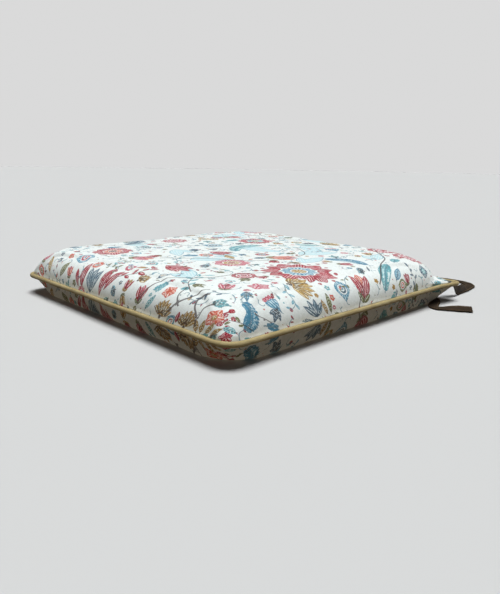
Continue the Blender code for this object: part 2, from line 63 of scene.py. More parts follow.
LIP_HEIGHT = 0.00095  # from the seam's plane to the panels' allowances
LIP_END = 0.00995
FRONT_CORNER_RADIUS = 0.020
BACK_CORNER_RADIUS = 0.008
FRONT_SHOULDER_RADIUS = 0.034
FRONT_SHOULDER_INSET = 0.015
BACK_SHOULDER_RADIUS = 0.062
EAR_RISE = 0.22
FLOOR_CORNER_RADIUS = 0.052
EAR_PULL = 0.005
EAR_REACH = 0.045
WALL_LEAN = 0.37
HEEL_RISE = 0.004
HEEL_RUN = 0.0049
ZIP_HALF_LENGTH = 0.140
ZIP_HEIGHT = 0.013
SLOT_HALF_WIDTH = 0.0039
TIE_WIDTH = 0.013
TIE_THICKNESS = 0.002
TIE_LEAD = 0.0025
FLOOR_GAP = 0.0003

# Grid of the cover: coarse for the cloth simulation, and finer for the print.
COARSE_RINGS = 35
TOP_FINER = 4
BOTTOM_FINER = 3

# The cloth simulation.
SWELL_FRAMES = 20
SWELL_PRESSURE = 2.0
SWELL_SLACK = 0.012  # how much larger than its place the cloth is cut
SWELL_MOST_OUT = 0.0026
SWELL_MOST_IN = 0.0008


# ---------------------------------------------------------------- camera


def make_camera():
    """Low, from the front right, with the pad below the middle of the picture."""
    azimuth, elevation, roll = (math.radians(a) for a in (46.572, 12.296, 0.887))
    aim = Vector((0.0, 0.0, 0.02))
    back = Vector(
        (
            math.sin(azimuth) * math.cos(elevation),
            -math.cos(azimuth) * math.cos(elevation),
            math.sin(elevation),
        )
    )
    right = Vector((math.cos(azimuth), math.sin(azimuth), 0.0))
    up = back.cross(right)
    turned_right = right * math.cos(roll) + up * math.sin(roll)
    turned_up = up * math.cos(roll) - right * math.sin(roll)
    place = Matrix((turned_right, turned_up, back)).transposed().to_4x4()
    place.translation = aim + back * 0.7473
    lens = bpy.data.cameras.new("camera")
    lens.lens = 34.15
    lens.sensor_width = 36.0
    lens.shift_x = 0.0196
    lens.shift_y = -0.0269
    camera = bpy.data.objects.new("camera", lens)
    bpy.context.scene.collection.objects.link(camera)
    camera.matrix_world = place
    bpy.context.scene.camera = camera


make_camera()


# ---------------------------------------------------------------- mesh and node helpers


def add_mesh(name, points, faces, look, smooth=True):
    """A new object in the scene's collection, from arrays or lists of points and faces."""
    mesh = bpy.data.meshes.new(name)
    points = points.tolist() if isinstance(points, np.ndarray) else points
    faces = faces.tolist() if isinstance(faces, np.ndarray) else faces
    mesh.from_pydata(points, [], faces)
    mesh.materials.append(look)
    if smooth:
        mesh.shade_smooth()
    obj = bpy.data.objects.new(name, mesh)
    bpy.context.scene.collection.objects.link(obj)
    return obj


def add_attribute(obj, name, values):
    """Stores one vector for each of the object's points, for its material to read."""
    made = obj.data.attributes.new(name, "FLOAT_VECTOR", "POINT")
    full = np.zeros((len(obj.data.vertices), 3), np.float32)
    full[: len(values), : values.shape[1]] = values
    made.data.foreach_set("vector", full.ravel())


def tube_rings(line, section):
    """A section's rings carried along a line.  section(i) gives (across, up) offsets at point i."""
    line = np.asarray(line, float)
    heading = np.gradient(line, axis=0)
    heading /= np.linalg.norm(heading, axis=1)[:, None]
    side = np.cross(heading[0], (0.0, 0.0, 1.0))
    if np.linalg.norm(side) < 1e-6:
        side = np.array((1.0, 0.0, 0.0))
    rings = []
    for i, (spot, ahead) in enumerate(zip(line, heading, strict=True)):
        side = side - ahead * (side @ ahead)
        side /= np.linalg.norm(side)
        up = np.cross(side, ahead)
        rings.append([spot + side * a + up * b for a, b in section(i)])
    return np.array(rings)


def skin_faces(rows, count, closed=False, start=0, caps=True):
    """Quads over rows of count points each."""
    faces = []
    for row in range(rows if closed else rows - 1):
        here = start + row * count
        there = start + (row + 1) % rows * count
        faces += [
            (here + i, here + (i + 1) % count, there + (i + 1) % count, there + i) for i in range(count)
        ]
    if caps and not closed:
        faces.append(tuple(start + i for i in reversed(range(count))))
        faces.append(tuple(start + (rows - 1) * count + i for i in range(count)))
    return faces


def circle(radius, sides, squash=1.0):
    turns = [2 * math.pi * i / sides for i in range(sides)]
    return [(radius * math.cos(a), radius * squash * math.sin(a)) for a in turns]


class Graph:
    """A material whose Principled shader is fed by nodes."""

    def __init__(self, name, **constants):
        self.material = bpy.data.materials.new(name)
        self.material.use_nodes = True
        self.tree = self.material.node_tree
        self.surface = self.tree.nodes["Principled BSDF"]
        for key, value in constants.items():
            self.surface.inputs[key.replace("_", " ")].default_value = value

    def put(self, socket, value):
        if isinstance(value, bpy.types.NodeSocket):
            self.tree.links.new(value, socket)
        elif isinstance(value, tuple) and len(value) == 3 and socket.type == "RGBA":
            socket.default_value = (*value, 1.0)
        else:
            socket.default_value = value

    def node(self, kind, inputs=None, **settings):
        made = self.tree.nodes.new("ShaderNode" + kind)
        for key, value in settings.items():
            setattr(made, key, value)
        for key, value in (inputs or {}).items():
            self.put(made.inputs[key], value)
        return made

    def math(self, operation, *values):
        return self.node("Math", dict(enumerate(values)), operation=operation).outputs[0]

    def mix(self, share, first, second, blend="MIX"):
        sockets = {0: share, 6: first, 7: second}
        return self.node("Mix", sockets, data_type="RGBA", blend_type=blend).outputs[2]

    def ramp(self, value, low, high, first=0.0, last=1.0):
        """Smooth change from first, at low, to last, at high."""
        sockets = {"Value": value, "From Min": low, "From Max": high, "To Min": first, "To Max": last}
        return self.node("MapRange", sockets, interpolation_type="SMOOTHSTEP").outputs[0]

    def noise(self, vector, scale, detail=2.0, roughness=0.5):
        sockets = {"Vector": vector, "Scale": scale, "Detail": detail, "Roughness": roughness}
        return self.node("TexNoise", sockets).outputs[0]

    def attribute(self, name):
        return self.node("Attribute", attribute_name=name).outputs["Vector"]

    def split(self, vector):
        return self.node("SeparateXYZ", {0: vector}).outputs

    def join(self, x, y, z=0.0):
        return self.node("CombineXYZ", {0: x, 1: y, 2: z}).outputs[0]

    def position(self):
        return self.node("TexCoord").outputs["Object"]

    def bump(self, height, strength, distance):
        sockets = {"Height": height, "Strength": strength, "Distance": distance}
        bump = self.node("Bump", sockets)
        self.put(self.surface.inputs["Normal"], bump.outputs[0])

    def wave(self, value, period):
        """A sine of that period, from 0 to 1."""
        turned = self.math("MULTIPLY", value, 2 * math.pi / period)
        return self.math("MULTIPLY_ADD", self.math("SINE", turned), 0.5, 0.5)

    def weave(self, u, v, pitch):
        """Height of a plain weave: threads that pass over and under each other."""
        warp = self.wave(u, pitch)
        weft = self.wave(v, pitch)
        over = self.math("MULTIPLY", self.wave(u, pitch * 2), self.wave(v, pitch * 2))
        return self.math("ADD", self.math("MULTIPLY", warp, weft), self.math("MULTIPLY", over, 0.5))


def srgb(red, green, blue):
    """Linear colour from 0 to 255 display values."""
    shares = [c / 255 for c in (red, green, blue)]
    return tuple(s / 12.92 if s <= 0.04045 else ((s + 0.055) / 1.055) ** 2.4 for s in shares)


# ---------------------------------------------------------------- ties


# Routes of the right-hand ties, as in the CAD model: x, y, height and roll in degrees.
UPPER_ROOT = 0.20822  # y where the seam holds the tie
LOWER_ROOT = 0.20401
UPPER_ROUTE = [
    (0.187, UPPER_ROOT, SEAM_HEIGHT, 0),
    (0.187, UPPER_ROOT + TIE_LEAD, SEAM_HEIGHT, 0),
    (0.1882, 0.2165, 0.0210, 15),
    (0.1898, 0.2230, 0.0140, 50),
    (0.1908, 0.2330, 0.0070, 82),
    (0.1898, 0.2440, 0.0068, 80),
    (0.1878, 0.2560, 0.0060, 62),
    (0.1850, 0.2700, 0.0040, 34),
    (0.1822, 0.2840, 0.0025, 16),
    (0.1790, 0.2970, 0.0013, 6),
    (0.1710, 0.3090, 0.0013, 0),
    (0.1560, 0.3160, 0.0013, 0),
    (0.1350, 0.3155, 0.0013, 0),
    (0.1100, 0.3090, 0.0013, 0),
    (0.0850, 0.3030, 0.0013, 0),
    (0.0600, 0.3010, 0.0013, 0),
    (0.0350, 0.3030, 0.0013, 0),
]
LOWER_ROUTE = [
    (0.157, LOWER_ROOT, SEAM_HEIGHT, 0),
    (0.157, LOWER_ROOT + TIE_LEAD, SEAM_HEIGHT, 0),
    (0.1553, 0.2140, 0.0190, 35),
    (0.1500, 0.2250, 0.0115, 75),
    (0.1430, 0.2340, 0.0070, 90),
    (0.1340, 0.2405, 0.0068, 90),
    (0.1250, 0.2415, 0.0068, 90),
    (0.1170, 0.2370, 0.0068, 90),
    (0.1145, 0.2295, 0.0068, 90),
    (0.1195, 0.2220, 0.0068, 90),
    (0.1310, 0.2197, 0.0068, 90),
    (0.1400, 0.2180, 0.0062, 70),
    (0.1520, 0.2115, 0.0040, 30),
    (0.1600, 0.2035, 0.0018, 8),
    (0.1680, 0.1970, 0.0013, 0),
    (0.1765, 0.1908, 0.0013, 0),
    (0.1842, 0.1825, 0.0013, 0),
    (0.1902, 0.1728, 0.0013, 0),
    (0.1948, 0.1622, 0.0013, 0),
    (0.1985, 0.1520, 0.0013, 0),
    (0.2028, 0.1452, 0.0013, 0),
    (0.2088, 0.1425, 0.0013, 0),
    (0.2160, 0.1450, 0.0015, 4),
    (0.2250, 0.1500, 0.0024, 14),
    (0.2345, 0.1560, 0.0024, 18),
    (0.2440, 0.1625, 0.0024, 18),
]
TIE_STATION = 0.002


def catmull(route, steps_of):
    """(points, index of each route point) on a smooth curve through the route."""
    points = []
    starts = []
    last = len(route) - 1
    for i in range(last):
        starts.append(len(points))
        a, b, c, d = (np.array(route[k]) for k in (max(i - 1, 0), i, i + 1, min(i + 2, last)))
        steps = steps_of(b, c)
        for step in range(steps):
            t = step / steps
            points.append(
                0.5
                * (
                    2 * b
                    + (c - a) * t
                    + (2 * a - 5 * b + 4 * c - d) * t**2
                    + (3 * b - a - 3 * c + d) * t**3
                )
            )
    starts.append(len(points))
    points.append(np.array(route[-1], float))
    return np.array(points), starts


def tie_line(route):
    """(middle, roll) of a tie at close stations, kept off the floor."""
    stations, starts = catmull(route, lambda b, c: max(1, round(math.dist(b[:3], c[:3]) / TIE_STATION)))
    roll = np.radians(stations[:, 3])
    reach = TIE_WIDTH / 2 * abs(np.sin(roll)) + TIE_THICKNESS / 2 * abs(np.cos(roll))
    stations[:, 2] = np.maximum(stations[:, 2], reach + FLOOR_GAP)
    return stations[:, :3], roll, starts


def tie_section():
    """(across, up) round a folded strap: fuller between its two rows of stitches and thin at the edges."""
    half_across = [0.2, 0.45, 0.66, 0.73, 0.8, 0.9, 0.97, 1.0]
    half_height = [1.0, 0.97, 0.82, 0.62, 0.82, 0.86, 0.62, 0.25]
    across = [-x for x in reversed(half_across)] + [0.0] + half_across
    height = half_height[::-1] + [1.0] + half_height
    top = list(zip(across, height, strict=True))
    return top + [(a, -h) for a, h in reversed(top)]


def make_tie(name, route, mirror, look):
    """A flat strap along its route, with a turned-in end, and its middle line."""
    line, roll, starts = tie_line(route)
    heading = np.gradient(line, axis=0)
    heading /= np.linalg.norm(heading, axis=1)[:, None]
    side = np.cross(heading, (0.0, 0.0, 1.0))
    side /= np.linalg.norm(side, axis=1)[:, None]
    up = np.cross(side, heading)
    tilted = side * np.cos(roll)[:, None] - up * np.sin(roll)[:, None]
    face = np.cross(tilted, heading)
    along = np.concatenate([[0.0], np.cumsum(np.linalg.norm(np.diff(line, axis=0), axis=1))])
    section = tie_section()
    rings = []
    marks = []
    for i, spot in enumerate(line):
        to_end = along[-1] - along[i]
        full = 0.86 + 0.14 * min(to_end / 0.004, 1.0) if to_end > 0.0002 else 0.55
        ripple = 0.97 + 0.03 * math.sin(along[i] * 410 + 2.0 * math.sin(along[i] * 97))
        width = TIE_WIDTH / 2 * ripple * (0.985 if to_end < 0.0002 else 1.0)
        thick = TIE_THICKNESS / 2 * full
        for a, u in section:
            rings.append(spot + tilted[i] * a * width + face[i] * u * thick)
            marks.append((a * width, along[i], u))
    points = np.array(rings)
    points[:, 0] *= mirror
    faces = skin_faces(len(line), len(section))
    if mirror < 0:
        faces = [tuple(reversed(f)) for f in faces]
    obj = add_mesh(name, points, faces, look)
    add_attribute(obj, "strap", np.array(marks))
    path = line * np.array((mirror, 1.0, 1.0))
    return obj, path, starts


def tie_material():
    """Dark brown folded cotton with a row of stitches along each edge."""
    g = Graph("tie_cloth", Roughness=0.9, Sheen_Weight=0.05, Sheen_Roughness=0.5, Specular_IOR_Level=0.2)
    across, along, _ = g.split(g.attribute("strap"))
    spot = g.position()
    worn = g.noise(spot, 90.0, 3.0)
    thread = g.noise(g.join(g.math("MULTIPLY", across, 5200.0), g.math("MULTIPLY", along, 700.0)), 1.0, 2.0)
    cloth = g.mix(g.ramp(worn, 0.3, 0.7), srgb(38, 26, 16), srgb(56, 40, 26))
    cloth = g.mix(g.ramp(thread, 0.35, 0.75, 0.0, 0.3), cloth, srgb(78, 60, 42))
    from_row = g.math("ABSOLUTE", g.math("SUBTRACT", g.math("ABSOLUTE", across), 0.0047))
    on_row = g.ramp(from_row, 0.00022, 0.0004, 1.0, 0.0)
    dash = g.ramp(g.wave(along, 0.0026), 0.22, 0.34)
    stitch = g.math("MULTIPLY", on_row, dash)
    cloth = g.mix(stitch, cloth, srgb(112, 92, 66))
    g.put(g.surface.inputs["Base Color"], cloth)
    weave = g.weave(across, along, 0.0007)
    height = g.math("MULTIPLY_ADD", stitch, 1.2, weave)
    g.bump(height, 0.5, 0.0002)
    return g.material


def make_ties():
    look = tie_material()
    for mirror, label in ((1, "right"), (-1, "left")):
        upper, path, _ = make_tie(f"strap_{label}_upper", UPPER_ROUTE, mirror, look)
        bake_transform(upper)
        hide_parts(f"tie_{label}_upper")
        lower, path, starts = make_tie(f"strap_{label}_lower", LOWER_ROUTE, mirror, look)
        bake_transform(lower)
        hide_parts(f"tie_{label}_lower_tucked", f"tie_{label}_lower_free")


make_ties()


# ---------------------------------------------------------------- the cover's surfaces


def ear(points):
    """Draws the two back corners out into small ears."""
    x, y = points[:, 0], points[:, 1]
    share = np.clip(1.0 - np.hypot(abs(x) - HALF, y - HALF) / EAR_REACH, 0.0, 1.0)
    share = share * share * (3.0 - 2.0 * share)
    return np.stack([x + np.sign(x) * EAR_PULL * share, y + EAR_PULL * share], axis=1)


def seam_radius(at_back):
    return np.where(at_back, BACK_CORNER_RADIUS, FRONT_CORNER_RADIUS)


def growing_radius(share, at_back, target):
    """A corner radius that follows the piping at the seam, share 0, and reaches target at share 1."""
    start = seam_radius(at_back) - SIDE_INSET
    return start + (target - start) * np.clip(share, 0.0, 1.0)


def top_radius(inset, at_back):
    across = np.clip((inset - SIDE_INSET) / SHOULDER_WIDTH, 0.0, 1.0)
    risen = np.sqrt(1.0 - (1.0 - across) ** 2)
    back = growing_radius(risen / EAR_RISE, at_back, BACK_SHOULDER_RADIUS)
    front_share = (inset - SIDE_INSET) / (FRONT_SHOULDER_INSET - SIDE_INSET)
    return np.where(at_back, back, growing_radius(front_share, at_back, FRONT_SHOULDER_RADIUS))


def bottom_radius(inset, at_back):
    floor_inset = SIDE_INSET + (SEAM_HEIGHT - HEEL_RISE) * WALL_LEAN + HEEL_RUN
    return growing_radius((inset - SIDE_INSET) / (floor_inset - SIDE_INSET), at_back, FLOOR_CORNER_RADIUS)


def piping_radius(inset, at_back):
    return np.maximum(seam_radius(at_back) - inset, 0.001)


def plan_points(inset, side, t, radius_rule):
    """Points on the rounded squares at those insets.  side counts round from the right-hand one, and t
    runs along a side from the middle of one corner, -1, to the middle of the next, 1."""
    half = HALF - inset
    r1 = np.minimum(radius_rule(inset, (side == 1) | (side == 2)), half)
    r2 = np.minimum(radius_rule(inset, (side == 0) | (side == 1)), half)
    arc1, arc2 = r1 * math.pi / 4, r2 * math.pi / 4
    straight = 2 * half - r1 - r2
    s = (t + 1) / 2 * (arc1 + straight + arc2)
    angle1 = -math.pi / 4 + np.minimum(s, arc1) / np.maximum(r1, 1e-9)
    angle2 = np.maximum(s - arc1 - straight, 0.0) / np.maximum(r2, 1e-9)
    on_first, on_last = s < arc1, s > arc1 + straight
    out = np.where(on_first, half - r1 + r1 * np.cos(angle1), half)
    out = np.where(on_last, half - r2 + r2 * np.cos(angle2), out)
    along = np.where(on_first, -(half - r1) + r1 * np.sin(angle1), -(half - r1) + s - arc1)
    along = np.where(on_last, half - r2 + r2 * np.sin(angle2), along)
    turn = side * math.pi / 2
    x = out * np.cos(turn) - along * np.sin(turn)
    y = out * np.sin(turn) + along * np.cos(turn)
    return np.stack([x, y], axis=1)


def square_grid(rings):
    """(ring, side, t) for each point of a square grid with that many rings round its middle."""
    i, j = np.meshgrid(np.arange(-rings, rings + 1), np.arange(-rings, rings + 1), indexing="ij")
    i, j = i.ravel(), j.ravel()
    ring = np.maximum(abs(i), abs(j))
    sideways = abs(i) >= abs(j)
    side = np.select([sideways & (i > 0), ~sideways & (j > 0), sideways], [0, 1, 2], 3)
    along = np.select([side == 0, side == 1, side == 2], [j, -i, -j], i)
    t = along / np.maximum(ring, 1)
    return ring, side, t


class Profile:
    """A panel's section from its middle to the seam, and its allowance, with the cloth's length."""

    def __init__(self, points, seam_index, radius_rule):
        points = np.array(points)
        steps = np.linalg.norm(np.diff(points, axis=0), axis=1)
        self.along = np.concatenate([[0.0], np.cumsum(steps)])
        self.insets, self.heights = points.T
        self.to_seam = self.along[seam_index]
        self.radius_rule = radius_rule

    def at(self, along):
        return np.interp(along, self.along, self.insets), np.interp(along, self.along, self.heights)

    def stations(self, main, lip):
        """Lengths of the rings: even out to the seam, then even over the allowance."""
        out = np.linspace(0.0, self.to_seam, main + 1)
        beyond = np.linspace(self.to_seam, self.along[-1], lip + 1)[1:]
        return np.concatenate([out, beyond])


def top_profile():
    centre = SIDE_INSET + SHOULDER_WIDTH
    points = [(HALF, PAD_HEIGHT), (CROWN_FLAT_INSET, PAD_HEIGHT)]
    for share in np.linspace(0.0, 1.0, 60)[1:]:
        inset = CROWN_FLAT_INSET + (centre - CROWN_FLAT_INSET) * share
        points.append((inset, SHOULDER_TOP + (PAD_HEIGHT - SHOULDER_TOP) * (1.0 - share**2)))
    rise = SHOULDER_TOP - SEAM_HEIGHT
    for angle in np.linspace(math.pi / 2, math.asin(LIP_HEIGHT / rise), 120)[1:]:
        points.append((centre - SHOULDER_WIDTH * math.cos(angle), SEAM_HEIGHT + rise * math.sin(angle)))
    seam = len(points) - 1
    points.append((LIP_END, SEAM_HEIGHT + LIP_HEIGHT))
    return Profile(points, seam, top_radius)


def bottom_profile():
    heel = SIDE_INSET + (SEAM_HEIGHT - HEEL_RISE) * WALL_LEAN
    points = [(HALF, 0.0), (heel + HEEL_RUN, 0.0)]
    for angle in np.linspace(-math.pi / 2, 0.0, 30)[1:]:
        across, up = math.cos(angle), 1.0 + math.sin(angle)
        points.append((heel + HEEL_RUN * (1.0 - across), HEEL_RISE * up))
    points.append((SIDE_INSET + LIP_HEIGHT * WALL_LEAN, SEAM_HEIGHT - LIP_HEIGHT))
    seam = len(points) - 1
    points.append((LIP_END, SEAM_HEIGHT - LIP_HEIGHT))
    return Profile(points, seam, bottom_radius)


class Panel:
    """A square grid laid over a panel: places, cloth coordinates and faces."""

    def __init__(self, profile, main, lip, stations=None):
        self.rings = main + lip
        self.main = main
        self.profile = profile
        self.stations = profile.stations(main, lip) if stations is None else stations
        self.ring, self.side, self.t = square_grid(self.rings)
        self.along = self.stations[self.ring]
        inset, height = profile.at(self.along)
        plan = plan_points(inset, self.side, self.t, profile.radius_rule)
        flat = plan * (self.along / np.maximum(HALF - inset, 1e-6))[:, None]
        self.points = np.column_stack([ear(plan), height])
        self.flat = flat * (TOP_TO_SEAM / profile.to_seam)
        self.perimeter = (self.side + (self.t + 1) / 2) / 4

    @property
    def across(self):
        return 2 * self.rings + 1

    def grid(self, values):
        return values.reshape(self.across, self.across, -1)

    def normals(self, upward):
        square = self.grid(self.points)
        along_i, along_j = np.gradient(square, axis=0), np.gradient(square, axis=1)
        normal = np.cross(along_i, along_j) * upward
        normal /= np.maximum(np.linalg.norm(normal, axis=2), 1e-12)[:, :, None]
        return normal.reshape(-1, 3)

    def faces(self, upward):
        index = np.arange(self.across**2).reshape(self.across, self.across)
        a, b, c, d = index[:-1, :-1], index[1:, :-1], index[1:, 1:], index[:-1, 1:]
        quads = np.stack([a, b, c, d] if upward > 0 else [a, d, c, b], axis=-1)
        return quads.reshape(-1, 4)

    def rim(self):
        """Indices round the grid's edge, in order."""
        index = np.arange(self.across**2).reshape(self.across, self.across)
        return np.concatenate([index[:-1, 0], index[-1, :-1], index[:0:-1, -1], index[0, :0:-1]])


TOP_PROFILE = top_profile()
BOTTOM_PROFILE = bottom_profile()
TOP_TO_SEAM = TOP_PROFILE.to_seam


def swell(top, bottom):
    """How far cloth under pressure moves from the two coarse panels, when it is held at the seam and the
    floor holds the underside."""
    count = len(top.points)
    points = np.concatenate([top.points, bottom.points])
    top_rim, bottom_rim = top.rim(), bottom.rim() + count
    ahead_top, ahead_bottom = np.roll(top_rim, -1), np.roll(bottom_rim, -1)
    bridge = np.stack([top_rim, bottom_rim, ahead_bottom, ahead_top], axis=1)
    faces = np.concatenate([top.faces(1), bottom.faces(-1) + count, bridge])
    look = bpy.data.materials.new("swell")
    obj = add_mesh("swell", points, faces, look, smooth=False)
    resting = np.flatnonzero(points[:, 2] < 0.001)
    held = obj.vertex_groups.new(name="held")
    held.add([int(i) for i in np.concatenate([top_rim, bottom_rim, resting])], 1.0, "REPLACE")
    cloth = obj.modifiers.new("cloth", "CLOTH")
    settings = cloth.settings
    settings.quality = 8
    settings.mass = 0.3
    settings.tension_stiffness = 20.0
    settings.compression_stiffness = 20.0
    settings.shear_stiffness = 8.0
    settings.bending_stiffness = 0.6
    settings.use_pressure = True
    settings.uniform_pressure_force = SWELL_PRESSURE
    settings.effector_weights.gravity = 0.0
    settings.vertex_group_mass = "held"
    settings.shrink_min = -SWELL_SLACK
    for frame_number in range(1, SWELL_FRAMES + 1):
        bpy.context.scene.frame_set(frame_number)
    graph = bpy.context.evaluated_depsgraph_get()
    moved = np.array([v.co for v in obj.evaluated_get(graph).data.vertices])
    bpy.context.scene.frame_set(1)
    mesh = obj.data
    bpy.data.objects.remove(obj)
    bpy.data.meshes.remove(mesh)
    bpy.data.materials.remove(look)
    shift = moved - points
    return shift[:count], shift[count:]


def finer(values, coarse, times):
    """Values on a coarse square grid, carried to a grid that is a number of times finer."""
    wide = 2 * coarse + 1
    spots = np.arange((wide - 1) * times + 1) / times
    low = np.minimum(spots.astype(int), wide - 2)
    t = spots - low
    weights = np.zeros((len(spots), wide))
    rows = np.arange(len(spots))
    shares = [
        -0.5 * t + t**2 - 0.5 * t**3,
        1 - 2.5 * t**2 + 1.5 * t**3,
        0.5 * t + 2 * t**2 - 1.5 * t**3,
        -0.5 * t**2 + 0.5 * t**3,
    ]
    for step, share in zip((-1, 0, 1, 2), shares, strict=True):
        np.add.at(weights, (rows, np.clip(low + step, 0, wide - 1)), share)
    return np.einsum("ai,ijk,bj->abk", weights, values, weights)


def periodic_noise(share, count, seed):
    """Smooth noise from -1 to 1 round the pad, with that many random knots."""
    knots = np.random.default_rng(seed).uniform(-1.0, 1.0, count)
    spot = share * count
    low = np.floor(spot).astype(int)
    t = spot - low
    t = t * t * (3.0 - 2.0 * t)
    return knots[low % count] * (1 - t) + knots[(low + 1) % count] * t


def puckers(panel, seed):
    """Small gathers where the cloth meets the piping, stronger round the corners."""
    from_seam = np.maximum(panel.profile.to_seam - panel.along, 0.0)
    p = panel.perimeter
    corner = np.abs(panel.t) ** 6
    fine = periodic_noise(p, 190, seed) * np.exp(-from_seam / 0.006)
    middle = periodic_noise(p + 0.15 * from_seam, 84, seed + 1) * np.exp(-from_seam / 0.014)
    wide = periodic_noise(p, 33, seed + 2) * np.exp(-from_seam / 0.030)
    height = 0.00034 * fine * (1 + corner) + 0.00062 * middle * (1 + 0.8 * corner) + 0.0007 * wide
    return height * np.clip(from_seam / 0.003, 0.0, 1.0)


def dents(points):
    """The uneven fullness of foam and wadding, which shows as low, broad dents."""
    rng = np.random.default_rng(8)
    height = np.zeros(len(points))
    for _ in range(46):
        spot = rng.uniform(-0.2, 0.2, 2)
        width = rng.uniform(0.018, 0.05)
        height += rng.uniform(-0.0005, 0.00035) * np.exp(-((points[:, :2] - spot) ** 2).sum(1) / width**2)
    return height


def settle(panel, shift, coarse, times, seed, upward):
    """Moves a fine panel by the swelling and its small unevenness."""
    normal = panel.normals(upward)
    inner = np.zeros((panel.across, panel.across))
    if shift is not None:
        wide = finer(shift.reshape(2 * coarse + 1, 2 * coarse + 1, 3), coarse, times)
        edge = panel.rings - panel.main
        full = np.zeros((panel.across, panel.across, 3))
        full[edge : panel.across - edge, edge : panel.across - edge] = wide
        inner = (full.reshape(-1, 3) * normal).sum(1)
    height = inner.ravel() + puckers(panel, seed)
    if upward > 0:
        height = height + dents(panel.points)
    height = np.clip(height, -SWELL_MOST_IN, SWELL_MOST_OUT)
    height = np.where(panel.ring >= panel.main, 0.0, height)
    panel.points = panel.points + normal * height[:, None]
    if upward < 0:
        panel.points[:, 2] = np.maximum(panel.points[:, 2], 0.0)


# ---------------------------------------------------------------- the print

MM = 0.001
FAR = 6 * MM  # the most that a distance field records
INKS = {  # dark and light tone of each ink
    "crimson": (srgb(158, 30, 48), srgb(222, 104, 116)),
    "rose": (srgb(192, 78, 100), srgb(238, 168, 176)),
    "coral": (srgb(208, 92, 72), srgb(244, 174, 148)),
    "slate": (srgb(84, 106, 124), srgb(158, 184, 198)),
    "blue": (srgb(72, 134, 164), srgb(158, 204, 222)),
    "teal": (srgb(104, 168, 178), srgb(190, 228, 230)),
    "aqua": (srgb(112, 168, 188), srgb(212, 238, 243)),
    "gold": (srgb(176, 134, 66), srgb(230, 206, 142)),
    "olive": (srgb(116, 116, 74), srgb(186, 184, 134)),
    "brown": (srgb(70, 50, 44), srgb(120, 96, 82)),
}
PALE_INKS = {"aqua": 0.9}  # the least share of the light tone inside the drawn rim
GROUND = srgb(246, 248, 246)


def turned(points, degrees):
    """Points in a frame whose first axis points at that angle."""
    a = math.radians(degrees)
    cos, sin = math.cos(a), math.sin(a)
    x, y = points[:, 0], points[:, 1]
    return np.stack([x * cos + y * sin, y * cos - x * sin], axis=1)


class Print:
    """Signed distances to each ink's edge and to the drawn lines, over points of flat cloth."""

    def __init__(self, flat):
        self.flat = flat
        self.inks = {name: np.full(len(flat), FAR) for name in INKS}
        self.hatch = np.zeros((len(flat), 3))
        blank = np.column_stack([np.full(len(flat), FAR)] * 2 + [np.zeros(len(flat))])
        self.lines = [blank.copy() for _ in range(2)]

    def near(self, centre, reach):
        offset = self.flat - centre
        return np.flatnonzero((offset**2).sum(1) < (reach + FAR) ** 2)

    def stamp(self, ink, near, distance, phase=0.0, tone=0.5):
        """Prints one shape over what is there.  ink None takes ink away."""
        for name, field in self.inks.items():
            if name == ink:
                field[near] = np.minimum(field[near], distance)
            else:
                field[near] = np.maximum(field[near], -distance)
        inside = distance < 0.8 * MM
        phase = np.broadcast_to(phase, distance.shape)
        self.hatch[near[inside], 0] = phase[inside]
        self.hatch[near[inside], 1] = tone

    def disc(self, ink, centre, radius, waves=0, depth=0.0, tone=0.5):
        near = self.near(centre, radius * (1 + depth))
        q = self.flat[near] - centre
        away = np.hypot(q[:, 0], q[:, 1])
        angle = np.arctan2(q[:, 1], q[:, 0])
        self.stamp(ink, near, away - radius * (1 + depth * np.cos(waves * angle)), angle * radius * 0.6, tone)

    def petal(self, ink, base, degrees, length, width, widest=1.0, tone=0.5, lines_along=True):
        """A leaf shape from its base.  widest above 1 puts the width near the tip."""
        near = self.near(base, length)
        q = turned(self.flat[near] - base, degrees)
        u = np.clip(q[:, 0] / length, 0.0, 1.0)
        half_width = width / 2 * np.sin(math.pi * u**widest)
        distance = np.maximum(0.85 * (abs(q[:, 1]) - half_width), np.maximum(-q[:, 0], q[:, 0] - length))
        self.stamp(ink, near, distance, q[:, 1] if lines_along else q[:, 0] + 1.2 * abs(q[:, 1]), tone)

    def stroke(self, points, width, channel=0, taper=0.6):
        """A drawn line along a curve: its signed offset, its distance and its half width."""
        curve, _ = catmull([(*p,) for p in points], lambda b, c: max(2, round(math.dist(b, c) / (2.5 * MM))))
        store = self.lines[channel]
        middle = curve.mean(axis=0)
        near = self.near(middle, np.linalg.norm(curve - middle, axis=1).max())
        q = self.flat[near]
        best = np.full(len(q), np.inf)
        signed = np.zeros(len(q))
        share = np.zeros(len(q))
        for i in range(len(curve) - 1):
            step = curve[i + 1] - curve[i]
            size = max(np.linalg.norm(step), 1e-9)
            rel = q - curve[i]
            t = np.clip(rel @ step / size**2, 0.0, 1.0)
            away = np.linalg.norm(rel - t[:, None] * step, axis=1)
            cross = (step[0] * rel[:, 1] - step[1] * rel[:, 0]) / size
            closer = away < best
            best = np.where(closer, away, best)
            signed = np.where(closer, np.where(away > abs(cross) + 0.3 * MM, away, cross), signed)
            share = np.where(closer, (i + t) / (len(curve) - 1), share)
        half_width = width / 2 * (1.0 - taper * share)
        better = best < store[near, 1]
        chosen = near[better]
        store[chosen, 0] = np.clip(signed[better], -FAR, FAR)
        store[chosen, 1] = np.minimum(best[better], FAR)
        store[chosen, 2] = half_width[better]
        return curve


def at(x, y):
    """A place on the cloth, in millimetres from its middle."""
    return np.array((x * MM, y * MM))


def towards(place, degrees, length):
    a = math.radians(degrees)
    return place + length * np.array((math.cos(a), math.sin(a)))


def leaf(art, ink, base, degrees, length, width=None, tone=0.5):
    art.petal(ink, base, degrees, length, width or length * 0.42, 0.85, tone, lines_along=False)
    art.stroke([base, towards(base, degrees, length * 0.5), towards(base, degrees, length * 0.86)], 0.7 * MM)


